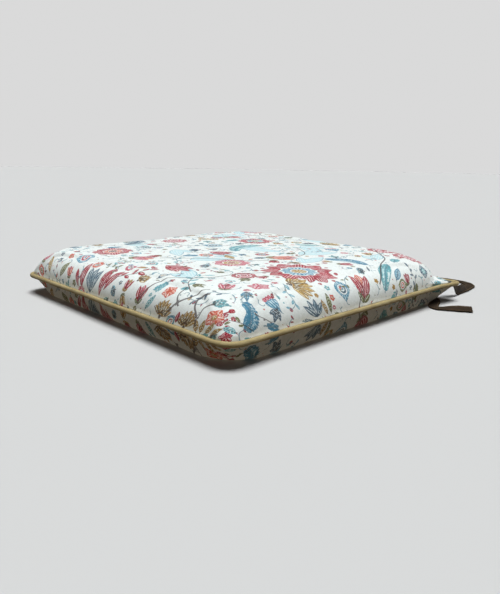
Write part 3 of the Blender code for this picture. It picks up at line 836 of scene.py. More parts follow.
def pointed_flower(art, place, radius, petals, outer, inner, heart, start=0.0):
    """An open flower with notched, pointed petals round a pale ring and a heart."""
    for k in range(petals):
        angle = start + 360 * k / petals
        size = radius * (0.92 + 0.08 * (k % 2))
        base = towards(place, angle, radius * 0.28)
        tone = 0.3 + 0.4 * (k % 2)
        art.petal(outer, base, angle, size * 0.74, 2.6 * radius / petals * 1.9, 1.25, tone=tone)
    art.disc(None, place, radius * 0.5, petals, 0.08)
    art.disc(inner, place, radius * 0.44, petals, 0.10, 0.7)
    art.disc(None, place, radius * 0.24)
    art.disc(heart, place, radius * 0.2, 0, 0.0, 0.3)
    for k in range(petals):
        spot = towards(place, start + 360 * (k + 0.5) / petals, radius * 0.97)
        art.disc(outer, spot, radius * 0.045 + 0.5 * MM)


def rosette(art, place, radius, ink="crimson"):
    """A round flower of rings."""
    art.disc(ink, place, radius, 9, 0.06, 0.45)
    art.disc(None, place, radius * 0.66, 9, 0.05)
    art.disc("rose", place, radius * 0.56, 7, 0.10, 0.7)
    art.disc(None, place, radius * 0.34)
    art.disc(ink, place, radius * 0.26, 5, 0.12, 0.2)
    for k in range(9):
        art.disc(ink, towards(place, 40 * k + 20, radius * 1.16), radius * 0.07)


def bud(art, base, degrees, length, inks=("crimson", "coral"), calyx="olive"):
    """A closed bud: two side petals over a middle one, in a calyx."""
    width = length * 0.46
    art.petal(inks[1], base, degrees, length, width, 1.1, 0.6)
    for side in (-1, 1):
        art.petal(inks[0], base, degrees + side * 17, length * 0.98, width * 0.62, 1.15, 0.35)
        art.petal(calyx, base, degrees + side * 42, length * 0.42, width * 0.34, 0.9, 0.4)
    art.stroke([towards(base, degrees, length * 0.1), towards(base, degrees + 3, length * 0.85)], 0.8 * MM)


def striped_petals(art, base, degrees, length, count, ink, spread=22):
    """Long, bold petals side by side."""
    for k in range(count):
        turn = (k - (count - 1) / 2) * spread
        reach = length * (1 - 0.12 * abs(turn) / spread)
        art.petal(ink, base, degrees + turn, reach, length * 0.3, 1.1, 0.25 + 0.2 * (k % 2))


def fan(art, base, degrees, length, ink="gold"):
    """Narrow petals spread like a fan, with drawn ribs."""
    for k in range(-3, 4):
        angle = degrees + 19 * k
        art.petal(ink, base, angle, length * (1 - 0.05 * abs(k)), length * 0.27, 1.3, 0.45 + 0.1 * (k % 2))
    for k in range(-3, 4):
        angle = degrees + 19 * k + 9
        ends = [towards(base, angle, length * share) for share in (0.2, 0.8)]
        art.stroke(ends, 0.8 * MM, taper=0.3)
    art.disc("brown", base, length * 0.11, 0, 0.0, 0.3)


def feather(art, points, ink, barb, tone=0.5):
    """A curved stem with close barbs on both sides."""
    curve = art.stroke(points, 1.4 * MM, channel=1)
    for i in range(1, len(curve) - 1):
        step = curve[i + 1] - curve[i - 1]
        heading = math.degrees(math.atan2(step[1], step[0]))
        size = barb * math.sin(math.pi * (0.15 + 0.85 * i / len(curve))) + 1.5 * MM
        for side in (-1, 1):
            art.petal(ink, curve[i], heading + side * 48, size, size * 0.34 + 0.5 * MM, 0.9, tone)


def sprig(art, points, ink, size, channel=0, berries=None):
    """A thin stem with small paired leaves, and a bud or a berry at its end."""
    curve = art.stroke(points, 1.1 * MM, channel=channel)
    count = max(2, round(len(curve) / 3))
    for k in range(1, count + 1):
        i = min(len(curve) - 2, round(k * (len(curve) - 1) / (count + 0.5)))
        step = curve[i + 1] - curve[i - 1]
        heading = math.degrees(math.atan2(step[1], step[0]))
        side = 1 if k % 2 else -1
        art.petal(ink, curve[i], heading + side * 45, size, size * 0.4, 0.9, 0.3 + 0.1 * (k % 3))
    if berries:
        art.disc(berries, curve[-1], size * 0.28, 0, 0.0, 0.4)


def berries(art, place, size, ink="crimson", count=6):
    for k in range(count):
        angle = 137.5 * k
        spot = towards(place, angle, size * 0.55 * math.sqrt(k))
        art.disc(None, spot, size * 0.42)
        art.disc(ink, spot, size * 0.36, 0, 0.0, 0.15 + 0.1 * (k % 3))


def bell(art, base, degrees, length, ink="blue", rim="rose"):
    """A bell flower with a scalloped mouth."""
    art.petal(ink, base, degrees, length, length * 0.72, 1.5, 0.75)
    mouth = towards(base, degrees, length * 0.86)
    for k in (-1, 0, 1):
        spot = towards(mouth, degrees + 90, k * length * 0.2)
        art.disc(rim, spot, length * 0.11, 0, 0.0, 0.5)
    for side in (-1, 1):
        art.stroke([base, towards(base, degrees + side * 14, length * 0.7)], 0.8 * MM, channel=1)


def drop(art, base, degrees, length, ink="blue", heart="slate"):
    """A rounded drop with rings inside."""
    art.petal(ink, base, degrees, length, length * 0.78, 1.25, 0.7)
    middle = towards(base, degrees, length * 0.55)
    art.disc(None, middle, length * 0.24)
    art.disc(heart, middle, length * 0.19, 0, 0.0, 0.4)
    art.disc(None, middle, length * 0.10)
    art.disc(ink, middle, length * 0.06)


def scroll(art, points, width=1.8, channel=0):
    """A bold stem that ends in a curl."""
    art.stroke(points, width * MM, channel=channel, taper=0.4)


def draw_top(art):
    """The larger flowers at their places, and smaller ones in the gaps between."""
    # pale shadow leaves under the rest
    for x, y, degrees, size in (
        (-15, 17, 20, 62), (13, -92, 60, 54), (24, 95, -20, 60), (-120, 60, 80, 56), (90, -150, 150, 48),
        (-150, -80, 10, 50), (70, 40, 70, 58), (-60, -60, -30, 50), (150, 90, 120, 46), (-30, 160, 0, 60),
        (-160, 150, -40, 52), (110, 0, 100, 50), (-100, 110, 200, 46), (30, -30, 200, 44), (-70, 190, 10, 40),
    ):
        art.petal("aqua", at(x, y), degrees, size * MM, size * 0.36 * MM, 0.9, 0.6)
        art.petal("aqua", at(x, y), degrees + 38, size * 0.7 * MM, size * 0.26 * MM, 0.9, 0.4)
    # long branching stems
    scroll(art, [at(-190, -150), at(-150, -110), at(-120, -50), at(-70, -20), at(-40, 30), at(-50, 80)])
    scroll(art, [at(60, -205), at(70, -170), at(100, -140), at(110, -100), at(128, -60)])
    scroll(art, [at(195, 40), at(170, 70), at(150, 110), at(120, 140), at(90, 170), at(40, 185)])
    scroll(art, [at(-20, -110), at(20, -70), at(60, -40), at(80, 0), at(70, 50), at(30, 80)])
    scroll(art, [at(-130, 190), at(-110, 150), at(-70, 130), at(-10, 140), at(40, 120)])
    scroll(art, [at(-190, 20), at(-160, 50), at(-150, 90), at(-165, 130)])
    # the right-hand side, from the near corner to the far one
    berries(art, at(186, -192), 9 * MM, "crimson", 7)
    sprig(art, [at(208, -178), at(198, -184), at(190, -190)], "olive", 9 * MM)
    leaf(art, "teal", at(206, -196), 200, 15 * MM, 9 * MM)
    art.disc("crimson", at(203, -207), 6 * MM, 5, 0.2)
    feather(art, [at(178, -164), at(190, -164), at(200, -172), at(207, -184)], "blue", 9 * MM)
    sprig(art, [at(206, -150), at(200, -156), at(196, -162)], "brown", 5 * MM)
    bell(art, at(200, -130), 195, 22 * MM)
    for turn in (-44, -15, 15, 44):
        art.petal("slate", at(213, -84), 180 + turn, 21 * MM, 7 * MM, 1.0, 0.4)
    leaf(art, "olive", at(213, -60), 172, 24 * MM, 7 * MM)
    leaf(art, "gold", at(213, -66), 190, 18 * MM, 6 * MM)
    drop(art, at(206, -30), 172, 28 * MM)
    bud(art, at(212, 2), 164, 40 * MM)
    scroll(art, [at(214, -8), at(206, -4), at(198, 2)], 1.6)
    feather(art, [at(206, 46), at(192, 54), at(180, 66), at(172, 82)], "teal", 11 * MM)
    leaf(art, "blue", at(196, 74), 130, 26 * MM, 10 * MM)
    bud(art, at(206, 98), 178, 17 * MM, ("crimson", "crimson"))
    sprig(art, [at(212, 112), at(200, 116), at(190, 112), at(180, 116)], "slate", 8 * MM)
    art.disc("slate", at(192, 142), 9 * MM, 4, 0.1, 0.3)
    art.disc("teal", at(192, 142), 4.5 * MM, 0, 0.0, 0.6)
    leaf(art, "teal", at(190, 166), 120, 24 * MM, 9 * MM)
    rosette(art, at(112, 166), 22 * MM)
    rosette(art, at(157, 154), 20 * MM)
    # the front side, from the near corner to the left one
    for k in range(5):
        art.petal("coral", at(176, -196), 72 * k + 20, 11 * MM, 9 * MM, 1.2, 0.5)
    art.disc("gold", at(176, -196), 3 * MM)
    for x, degrees in ((172, 110), (179, 82), (186, 60), (166, 130)):
        leaf(art, "gold", at(x, -214), degrees, 15 * MM, 6 * MM)
    scroll(art, [at(148, -176), at(140, -182), at(144, -192), at(154, -200), at(160, -210)], 2.2)
    scroll(art, [at(164, -184), at(156, -190), at(158, -202)], 1.6)
    fan(art, at(146, -214), 95, 19 * MM)
    art.petal("crimson", at(132, -213), 100, 13 * MM, 6 * MM)
    scroll(art, [at(112, -208), at(118, -194), at(130, -182), at(138, -168)], 2.4)
    scroll(art, [at(122, -196), at(112, -186), at(110, -174)], 1.8)
    fan(art, at(104, -212), 84, 20 * MM)
    for k in range(5):
        art.petal("coral", at(96, -184), 72 * k, 9 * MM, 8 * MM, 1.2, 0.5)
    bud(art, at(60, -208), 98, 24 * MM, ("crimson", "rose"))
    leaf(art, "teal", at(76, -210), 70, 20 * MM, 7 * MM)
    bud(art, at(28, -200), 86, 18 * MM, ("crimson", "gold"), "gold")
    fan(art, at(38, -182), 60, 16 * MM)
    striped_petals(art, at(-20, -214), 84, 44 * MM, 1, "crimson")
    striped_petals(art, at(-12, -206), 66, 36 * MM, 1, "crimson")
    for turn in (-20, 0, 20):
        art.petal("slate", at(-42, -214), 90 + turn, 34 * MM, 12 * MM, 1.1, 0.4)
    striped_petals(art, at(-62, -214), 96, 40 * MM, 1, "crimson")
    striped_petals(art, at(-70, -212), 116, 26 * MM, 1, "crimson")
    sprig(art, [at(0, -186), at(16, -176), at(26, -164), at(24, -150)], "crimson", 12 * MM, berries="crimson")
    drop(art, at(-108, -176), 20, 30 * MM, "blue", "rose")
    leaf(art, "olive", at(-120, -206), 60, 26 * MM, 10 * MM)
    bud(art, at(-96, -206), 100, 18 * MM, ("coral", "rose"))
    leaf(art, "gold", at(-150, -206), 100, 24 * MM, 9 * MM)
    bud(art, at(-176, -196), 60, 24 * MM, ("rose", "coral"))
    # the top
    pointed_flower(art, at(138, -40), 42 * MM, 11, "crimson", "blue", "gold")
    fan(art, at(170, -92), 74, 30 * MM)
    for k in range(5):
        art.petal("rose", at(160, -124), 72 * k + 10, 12 * MM, 9 * MM, 1.2, 0.5)
    bud(art, at(150, -160), 130, 26 * MM, ("rose", "crimson"))
    rosette(art, at(118, -104), 13 * MM)
    sprig(art, [at(120, -176), at(104, -166), at(92, -150), at(90, -132)], "teal", 12 * MM)
    pointed_flower(art, at(-100, -128), 26 * MM, 8, "crimson", "coral", "brown", 20)
    striped_petals(art, at(20, -132), 0, 44 * MM, 3, "crimson", 16)
    bud(art, at(-50, -136), 30, 34 * MM, ("rose", "coral"))
    pointed_flower(art, at(58, -66), 22 * MM, 7, "rose", "gold", "crimson")
    bud(art, at(56, -8), 40, 40 * MM, ("coral", "rose"))
    leaf(art, "gold", at(40, -46), 160, 30 * MM, 10 * MM)
    drop(art, at(-70, -6), 30, 32 * MM)
    rosette(art, at(-126, -10), 18 * MM)
    striped_petals(art, at(-18, -36), 18, 36 * MM, 3, "crimson", 20)
    pointed_flower(art, at(-50, 80), 26 * MM, 8, "crimson", "teal", "gold", 10)
    feather(art, [at(0, -6), at(-16, 10), at(-22, 34), at(-14, 56)], "teal", 13 * MM)
    feather(art, [at(108, 40), at(124, 52), at(140, 58), at(160, 56)], "blue", 12 * MM)
    fan(art, at(30, 140), 80, 28 * MM)
    leaf(art, "teal", at(10, 100), 40, 40 * MM, 14 * MM)
    bell(art, at(84, 100), 150, 28 * MM)
    bud(art, at(-110, 70), 60, 30 * MM, ("crimson", "coral"))
    pointed_flower(art, at(-140, 168), 26 * MM, 9, "rose", "blue", "crimson")
    fan(art, at(-160, 40), 140, 22 * MM)
    feather(art, [at(-180, -60), at(-160, -50), at(-146, -64), at(-140, -84)], "slate", 11 * MM)
    drop(art, at(-30, 176), 60, 28 * MM, "slate", "coral")
    bud(art, at(-80, 160), 100, 30 * MM, ("coral", "crimson"))
    bell(art, at(-168, -20), 80, 24 * MM, "teal", "crimson")
    bud(art, at(60, 196), 100, 18 * MM)
    leaf(art, "blue", at(20, 200), 60, 24 * MM, 9 * MM)
    striped_petals(art, at(-190, 90), 80, 34 * MM, 3, "crimson", 22)
    fan(art, at(-195, -110), 30, 22 * MM)
    fill_gaps(art)


def bare(art, spot):
    """How far a place is from any ink or bold line."""
    nearest = np.argmin(((art.flat - spot) ** 2).sum(1))
    return min(min(field[nearest] for field in art.inks.values()), art.lines[0][nearest, 1])


def fill_gaps(art):
    """Flowers, leaves, sprigs and dots where the cloth is still bare, the larger ones first."""
    rng = np.random.default_rng(21)
    cool = ("teal", "blue", "slate", "aqua", "teal", "olive")
    warm = ("crimson", "rose", "coral", "gold", "crimson")
    for _ in range(420):
        spot = rng.uniform(-0.222, 0.222, 2)
        kind, degrees, size = rng.integers(0, 7), rng.uniform(0, 360), rng.uniform(13, 21) * MM
        one, two = cool[rng.integers(0, len(cool))], warm[rng.integers(0, len(warm))]
        if bare(art, spot) < 4.6 * MM:
            continue
        if kind == 0:
            pointed_flower(art, spot, 0.52 * size, 7, two, one, "gold", degrees)
        elif kind == 1:
            bud(art, towards(spot, degrees, -0.5 * size), degrees, size, (two, "rose"))
        elif kind == 2:
            ink = "gold" if one == "olive" else one
            fan(art, towards(spot, degrees, -0.4 * size), degrees, 0.8 * size, ink)
        elif kind == 3:
            spine = [towards(spot, degrees, k * size * 0.5) for k in (-1.2, -0.4, 0.4, 1.2)]
            feather(art, spine, one, 0.42 * size)
        elif kind == 4:
            for turn in (-26, 0, 26):
                foot, length = towards(spot, degrees, -0.4 * size), size * (1 - abs(turn) / 90)
                leaf(art, one, foot, degrees + turn, length, 0.24 * size)
        elif kind == 5:
            drop(art, towards(spot, degrees, -0.5 * size), degrees, size, one, two)
        else:
            bend = towards(spot, degrees + 25, size * 0.8)
            ends = [towards(spot, degrees, -size * 0.8), spot, bend, towards(bend, degrees - 30, size * 0.6)]
            sprig(art, ends, one, 0.42 * size, channel=1, berries=two)
    for _ in range(2600):
        spot = rng.uniform(-0.225, 0.225, 2)
        kind, degrees, size = rng.integers(0, 6), rng.uniform(0, 360), rng.uniform(6, 10) * MM
        ink = (cool + warm)[rng.integers(0, len(cool) + len(warm))]
        if bare(art, spot) < (3.0 * MM if kind < 4 else 1.9 * MM):
            continue
        if kind == 0:
            bend = towards(spot, degrees + 20, size)
            line = [spot, bend, towards(bend, degrees - 20, size)]
            sprig(art, line, ink, 0.6 * size, channel=1, berries="crimson")
        elif kind == 1:
            leaf(art, ink, spot, degrees, size)
        elif kind == 2:
            for k in range(5):
                art.petal(ink, spot, degrees + 72 * k, 0.5 * size, 0.36 * size, 1.2, 0.5)
            art.disc("gold", spot, 0.13 * size)
        elif kind == 3:
            curl = [towards(spot, degrees + 50 * k, 0.5 * size * (1 - 0.12 * k)) for k in range(5)]
            art.stroke(curl, 0.9 * MM, channel=1)
        else:
            art.disc(ink, spot, rng.uniform(0.7, 1.3) * MM)


def print_cloth(obj, flat):
    """Gives a panel its print, as fields that its material reads."""
    art = Print(flat)
    draw_top(art)
    names = list(INKS)
    groups = [names[i : i + 3] for i in range(0, len(names), 3)]
    for number, group in enumerate(groups):
        add_attribute(obj, f"inks_{number}", np.stack([art.inks[name] for name in group], axis=1))
    add_attribute(obj, "hatch", art.hatch)
    add_attribute(obj, "lines_0", art.lines[0])
    add_attribute(obj, "lines_1", art.lines[1])
    add_attribute(obj, "cloth", np.column_stack([flat, np.zeros(len(flat))]))


def print_material():
    """Woven cotton, printed: each ink in two tones, with hatching, drawn lines and a plain weave."""
    g = Graph(
        "printed_cotton",
        Roughness=0.88,
        Sheen_Weight=0.15,
        Sheen_Roughness=0.5,
        Specular_IOR_Level=0.3,
    )
    cloth = g.attribute("cloth")
    u, v, _ = g.split(cloth)
    bleed = g.math("SUBTRACT", g.noise(cloth, 620.0, 3.0, 0.6), 0.5)
    bleed = g.math("MULTIPLY", bleed, 0.0016)
    phase, tone, _ = g.split(g.attribute("hatch"))
    worn = g.noise(cloth, 130.0, 3.0, 0.6)
    stripes = g.wave(g.math("ADD", phase, g.math("MULTIPLY", bleed, 1.6)), 0.0032)
    shade = g.math("ADD", g.math("MULTIPLY", stripes, 0.75), g.math("MULTIPLY", tone, 0.45))
    shade = g.math("ADD", shade, g.math("MULTIPLY", g.math("SUBTRACT", worn, 0.5), 0.9))
    thin = g.math("MULTIPLY", g.ramp(stripes, 0.50, 0.85), g.ramp(worn, 0.34, 0.56))
    colour = g.mix(g.ramp(worn, 0.40, 0.80, 0.0, 0.4), GROUND, srgb(232, 230, 224))
    names = list(INKS)
    for number in range(0, len(names), 3):
        fields = g.split(g.attribute(f"inks_{number // 3}"))
        for name, field in zip(names[number : number + 3], fields, strict=False):
            edge = g.math("ADD", field, bleed)
            inside = g.ramp(edge, -0.0003, 0.0002, 1.0, 0.0)
            within = g.ramp(edge, -0.0011, -0.0005, 1.0, 0.0)
            light = g.math("MULTIPLY", g.ramp(shade, 0.38, 0.90, PALE_INKS.get(name, 0.0), 1.0), within)
            hatched = g.math("MULTIPLY_ADD", g.math("MULTIPLY", thin, within), -0.7, 1.0)
            cover = g.math("MULTIPLY", inside, hatched)
            dark_tone, light_tone = INKS[name]
            colour = g.mix(cover, colour, g.mix(light, dark_tone, light_tone))
    for channel, ink in ((1, srgb(104, 138, 154)), (0, srgb(82, 68, 66))):
        offset, away, half_width = g.split(g.attribute(f"lines_{channel}"))
        wavering = g.math("ADD", offset, g.math("MULTIPLY", bleed, 0.4))
        beyond = g.math("SUBTRACT", g.math("ABSOLUTE", wavering), half_width)
        on_line = g.ramp(beyond, -0.0001, 0.0003, 1.0, 0.0)
        drawn = g.math("MULTIPLY", on_line, g.ramp(away, 0.0016, 0.0024, 1.0, 0.0))
        drawn = g.math("MULTIPLY", drawn, g.math("GREATER_THAN", half_width, 0.0001))
        colour = g.mix(g.math("MULTIPLY", drawn, 0.85), colour, ink)
    slub_u = g.noise(g.join(g.math("MULTIPLY", u, 220.0), g.math("MULTIPLY", v, 2600.0)), 1.0, 2.0)
    slub_v = g.noise(g.join(g.math("MULTIPLY", u, 2600.0), g.math("MULTIPLY", v, 220.0)), 1.0, 2.0)
    slub = g.math("ADD", slub_u, slub_v)
    colour = g.mix(g.ramp(slub, 0.75, 1.25, 0.22, 0.0), colour, srgb(120, 112, 98), "MULTIPLY")
    g.put(g.surface.inputs["Base Color"], colour)
    height = g.math("MULTIPLY_ADD", slub, 0.8, g.weave(u, v, 0.0008))
    g.bump(height, 0.35, 0.00025)
    return g.material


def make_top(shift, look):
    """The crowned top panel: a fine printed face, and a coarser lining that closes it."""
    panel = Panel(TOP_PROFILE, COARSE_RINGS * TOP_FINER, TOP_FINER)
    settle(panel, shift, COARSE_RINGS, TOP_FINER, 30, 1)
    normal = panel.normals(1)
    wide = panel.across
    index = np.arange(wide**2).reshape(wide, wide)[::TOP_FINER, ::TOP_FINER]
    under = panel.points[index.ravel()] - normal[index.ravel()] * COVER_THICKNESS
    on_lip = panel.ring[index.ravel()] > panel.main
    under[on_lip] = panel.points[index.ravel()[on_lip]] + (0.0, 0.0, COVER_THICKNESS)
    coarse = index.shape[0]
    lining = np.arange(coarse**2).reshape(coarse, coarse) + wide**2
    a, b, c, d = lining[:-1, :-1], lining[1:, :-1], lining[1:, 1:], lining[:-1, 1:]
    lining_faces = np.stack([a, d, c, b], axis=-1).reshape(-1, 4)
    rim = panel.rim()
    small_rim = np.concatenate([lining[:-1, 0], lining[-1, :-1], lining[:0:-1, -1], lining[0, :0:-1]])
    edge = []
    for k, here in enumerate(small_rim):
        ahead = small_rim[(k + 1) % len(small_rim)]
        fine = [rim[(k * TOP_FINER + step) % len(rim)] for step in range(TOP_FINER + 1)]
        edge.append((*fine, ahead, here))
    points = np.concatenate([panel.points, under])
    edge_faces = [tuple(int(i) for i in reversed(f)) for f in edge]
    faces = panel.faces(1).tolist() + lining_faces.tolist() + edge_faces
    obj = add_mesh("cover_top", points, faces, look)
    print_cloth(obj, panel.flat)
    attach(obj, "pad")
    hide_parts("cover_top_panel")


def zip_slot_rings(stations):
    """Moves the two nearest rings to the long edges of the zip's slot, and returns their numbers."""
    numbers = []
    for side in (-1, 1):
        height = ZIP_HEIGHT + side * SLOT_HALF_WIDTH / math.hypot(1.0, WALL_LEAN)
        along = np.interp(height, BOTTOM_PROFILE.heights[2:-1], BOTTOM_PROFILE.along[2:-1])
        number = int(np.argmin(abs(stations - along)))
        stations[number] = along
        numbers.append(number)
    return numbers


def make_bottom(shift, look):
    """The bottom panel, with the slot for the zip in its back wall."""
    main = COARSE_RINGS * BOTTOM_FINER
    stations = BOTTOM_PROFILE.stations(main, BOTTOM_FINER)
    low, high = zip_slot_rings(stations)
    panel = Panel(BOTTOM_PROFILE, main, BOTTOM_FINER, stations)
    settle(panel, shift, COARSE_RINGS, BOTTOM_FINER, 60, -1)
    slot_end = ZIP_HALF_LENGTH + 0.0003
    in_slot = (panel.side == 1) & (panel.ring >= low) & (panel.ring <= high)
    for ring in range(low, high + 1):
        row = np.flatnonzero(in_slot & (panel.ring == ring))
        for end in (-slot_end, slot_end):
            nearest = row[np.argmin(abs(panel.points[row, 0] - end))]
            panel.points[nearest, 0] = end
    quads = panel.faces(-1)
    inside = in_slot & (abs(panel.points[:, 0]) < slot_end + 1e-6)
    kept = quads[~inside[quads].all(axis=1)]
    used = np.unique(kept)
    renumber = np.full(len(panel.points), -1)
    renumber[used] = np.arange(len(used))
    obj = add_mesh("cover_bottom", panel.points[used], renumber[kept], look)
    print_cloth(obj, panel.flat[used])
    solid = obj.modifiers.new("thickness", "SOLIDIFY")
    solid.thickness = COVER_THICKNESS
    solid.offset = -1.0
    apply_modifiers(obj)
    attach(obj, "pad")
    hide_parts("cover_bottom_panel")


def apply_modifiers(obj):
    graph = bpy.context.evaluated_depsgraph_get()
    made = bpy.data.meshes.new_from_object(obj.evaluated_get(graph))
    old = obj.data
    obj.modifiers.clear()
    obj.data = made
    bpy.data.meshes.remove(old)


def make_cover():
    coarse_top = Panel(TOP_PROFILE, COARSE_RINGS, 0)
    coarse_bottom = Panel(BOTTOM_PROFILE, COARSE_RINGS, 0)
    top_shift, bottom_shift = swell(coarse_top, coarse_bottom)
    look = print_material()
    make_top(top_shift, look)
    make_bottom(bottom_shift, look)


make_cover()


# ---------------------------------------------------------------- piping

PIPING_STATIONS = 262  # on each side of the pad
PIPING_SIDES = 20


def piping_material():
    """Tan cotton cut on the bias, so that its threads run slantwise round the cord."""
    g = Graph("piping_cloth", Roughness=0.7, Sheen_Weight=0.2, Sheen_Roughness=0.4, Specular_IOR_Level=0.4)
    around, along, _ = g.split(g.attribute("wrap"))
    slant_one, slant_two = g.math("ADD", around, along), g.math("SUBTRACT", around, along)
    spot = g.position()
    worn = g.noise(spot, 60.0, 3.0, 0.6)
    thread_place = g.join(g.math("MULTIPLY", slant_one, 300.0), g.math("MULTIPLY", slant_two, 3000.0))
    thread = g.noise(thread_place, 1.0, 2.0)
    cross_place = g.join(g.math("MULTIPLY", slant_one, 3000.0), g.math("MULTIPLY", slant_two, 300.0))
    cross = g.noise(cross_place, 1.0, 2.0)
    colour = g.mix(g.ramp(worn, 0.3, 0.7), srgb(166, 144, 98), srgb(188, 168, 122))
    grain = g.math("ADD", thread, cross)
    colour = g.mix(g.ramp(grain, 0.7, 1.3, 0.35, 0.0), colour, srgb(120, 98, 58))
    g.put(g.surface.inputs["Base Color"], colour)
    height = g.math("MULTIPLY_ADD", grain, 0.7, g.weave(slant_one, slant_two, 0.0009))
    g.bump(height, 0.4, 0.0002)
    return g.material


def make_piping(look):
    """Cloth round the filler cord, with the flange that the seam holds."""
    count = 4 * PIPING_STATIONS
    side = np.repeat(np.arange(4), PIPING_STATIONS)
    t = np.tile(np.linspace(-1.0, 1.0, PIPING_STATIONS, endpoint=False), 4)
    share = (side + (t + 1) / 2) / 4
    tight = 0.00010 * periodic_noise(share, 260, 3) + 0.00008 * periodic_noise(share, 90, 4)
    wander = 0.0004 * periodic_noise(share, 26, 5)
    flange = 0.00065
    start = math.asin(flange / PIPING_RADIUS)
    angles = np.linspace(math.pi - start, start - math.pi, PIPING_SIDES + 1)
    rings = []
    for k, angle in enumerate(angles):
        wave = np.sin(2 * math.pi * (share * 470 + 0.9 * k / PIPING_SIDES))
        fold = 0.00007 * wave * periodic_noise(share, 120, 6)
        radius = PIPING_RADIUS + tight + fold
        inset = -radius * math.cos(angle)
        height = SEAM_HEIGHT + radius * math.sin(angle) + wander
        plan = plan_points(inset, side, t, piping_radius)
        rings.append(np.column_stack([ear(plan), height]))
    edge = np.full(count, LIP_END)
    plan = ear(plan_points(edge, side, t, piping_radius))
    low = np.column_stack([plan, np.full(count, SEAM_HEIGHT - flange)])
    high = np.column_stack([plan, np.full(count, SEAM_HEIGHT + flange)])
    rings = np.stack([high, *rings, low], axis=1)
    sections = rings.shape[1]
    marks = np.zeros((count, sections, 3))
    marks[:, :, 0] = np.linspace(-0.5, 0.5, sections) * 2 * math.pi * PIPING_RADIUS
    marks[:, :, 1] = (share * 8 * HALF)[:, None]
    faces = skin_faces(count, sections, closed=True)
    obj = add_mesh("piping", rings.reshape(-1, 3), faces, look)
    add_attribute(obj, "wrap", marks.reshape(-1, 3))
    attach(obj, "pad")
    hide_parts("piping_cover")


make_piping(piping_material())


# ---------------------------------------------------------------- zip, tacks and stitches

COIL_PITCH = 0.0014
COIL_WIRE = 0.00033
STITCH_LENGTH = 0.0024
STITCH_PITCH = 0.0032


def zip_frame():
    """Local X along the zip, Y down the wall and Z out of it."""
    across = Vector((0.0, -WALL_LEAN, -1.0)).normalized()
    out = Vector((1.0, 0.0, 0.0)).cross(across)
    place = Matrix((Vector((1.0, 0.0, 0.0)), across, out)).transposed().to_4x4()
    inset = SIDE_INSET + (SEAM_HEIGHT - ZIP_HEIGHT) * WALL_LEAN
    place.translation = Vector((0.0, HALF - inset, ZIP_HEIGHT))
    return place


def thread_material(name, colour, dark):
    g = Graph(name, Roughness=0.55, Sheen_Weight=0.1)
    spot = g.position()
    g.put(g.surface.inputs["Base Color"], g.mix(g.ramp(g.noise(spot, 900.0), 0.35, 0.7), dark, colour))
    g.bump(g.noise(spot, 2600.0), 0.3, 0.0001)
    return g.material


def make_coils():
    """Two nylon coils whose loops mesh along the middle of the zip."""
    g = Graph("zip_coil", Roughness=0.38, Specular_IOR_Level=0.5)
    shade = g.noise(g.position(), 700.0)
    colour_input = g.surface.inputs["Base Color"]
    g.put(colour_input, g.mix(g.ramp(shade, 0.3, 0.7), srgb(150, 140, 112), srgb(186, 176, 146)))
    place = np.array(zip_frame())
    span = ZIP_HALF_LENGTH - 0.0032
    turns = int(2 * span / COIL_PITCH)
    for side, label in ((-1, "upper"), (1, "lower")):
        box_low, box_high = -0.00045, 0.00085
        s = np.linspace(0.0, turns, turns * 10 + 1)
        angle = 2 * math.pi * s
        x = -span + s * COIL_PITCH + (COIL_PITCH / 2 if side > 0 else 0.0)
        x = np.minimum(x, span)
        y = side * (0.0014 - 0.0012 * np.cos(angle))
        z = (box_low + box_high) / 2 + (box_high - box_low) / 2 * np.sin(angle)
        line = np.column_stack([x, y, z]) @ place[:3, :3].T + place[:3, 3]
        rings = tube_rings(line, lambda i: circle(COIL_WIRE, 5))
        obj = add_mesh(f"coil_{label}", rings.reshape(-1, 3), skin_faces(len(line), 5), g.material)
        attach(obj, "pad")
        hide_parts(f"zip_coil_{label}")


def dash_points(start, end, out, lift):
    """A stitch's middle line: up out of the cloth, along it and down again."""
    spots = []
    for share, height in ((0.0, -0.4), (0.12, 0.5), (0.5, 1.0), (0.88, 0.5), (1.0, -0.4)):
        spots.append(start + (end - start) * share + out * lift * height)
    return np.array(spots)


def make_zip_stitches(look):
    """A row of stitches on each side of the zip, through the cloth and the tape."""
    place = np.array(zip_frame())
    out = place[:3, 2]
    points, faces = [], []
    for across in (-SLOT_HALF_WIDTH - 0.0022, SLOT_HALF_WIDTH + 0.0016):
        x = -ZIP_HALF_LENGTH
        while x + STITCH_LENGTH < ZIP_HALF_LENGTH:
            start = place[:3, :3] @ (x, across, 0.0) + place[:3, 3]
            end = place[:3, :3] @ (x + STITCH_LENGTH, across, 0.0) + place[:3, 3]
            rings = tube_rings(dash_points(start, end, out, 0.0005), lambda i: circle(0.00028, 5))
            faces += skin_faces(len(rings), 5, start=len(points))
            points += rings.reshape(-1, 3).tolist()
            x += STITCH_PITCH
    obj = add_mesh("zip_stitches", points, faces, look)
    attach(obj, "pad")


# Places round a tack's section: across and outwards, as shares of its own size.
TACK_LOOP = ((-0.55, -0.95), (-0.5, -0.1), (-0.25, 0.22), (0.25, 0.22), (0.5, -0.1), (0.55, -0.95))
# Places along a tack's core thread: lengthwise and outwards.
TACK_CORE = ((-0.5, -0.9), (-0.45, 0), (0.45, 0), (0.5, -0.9))


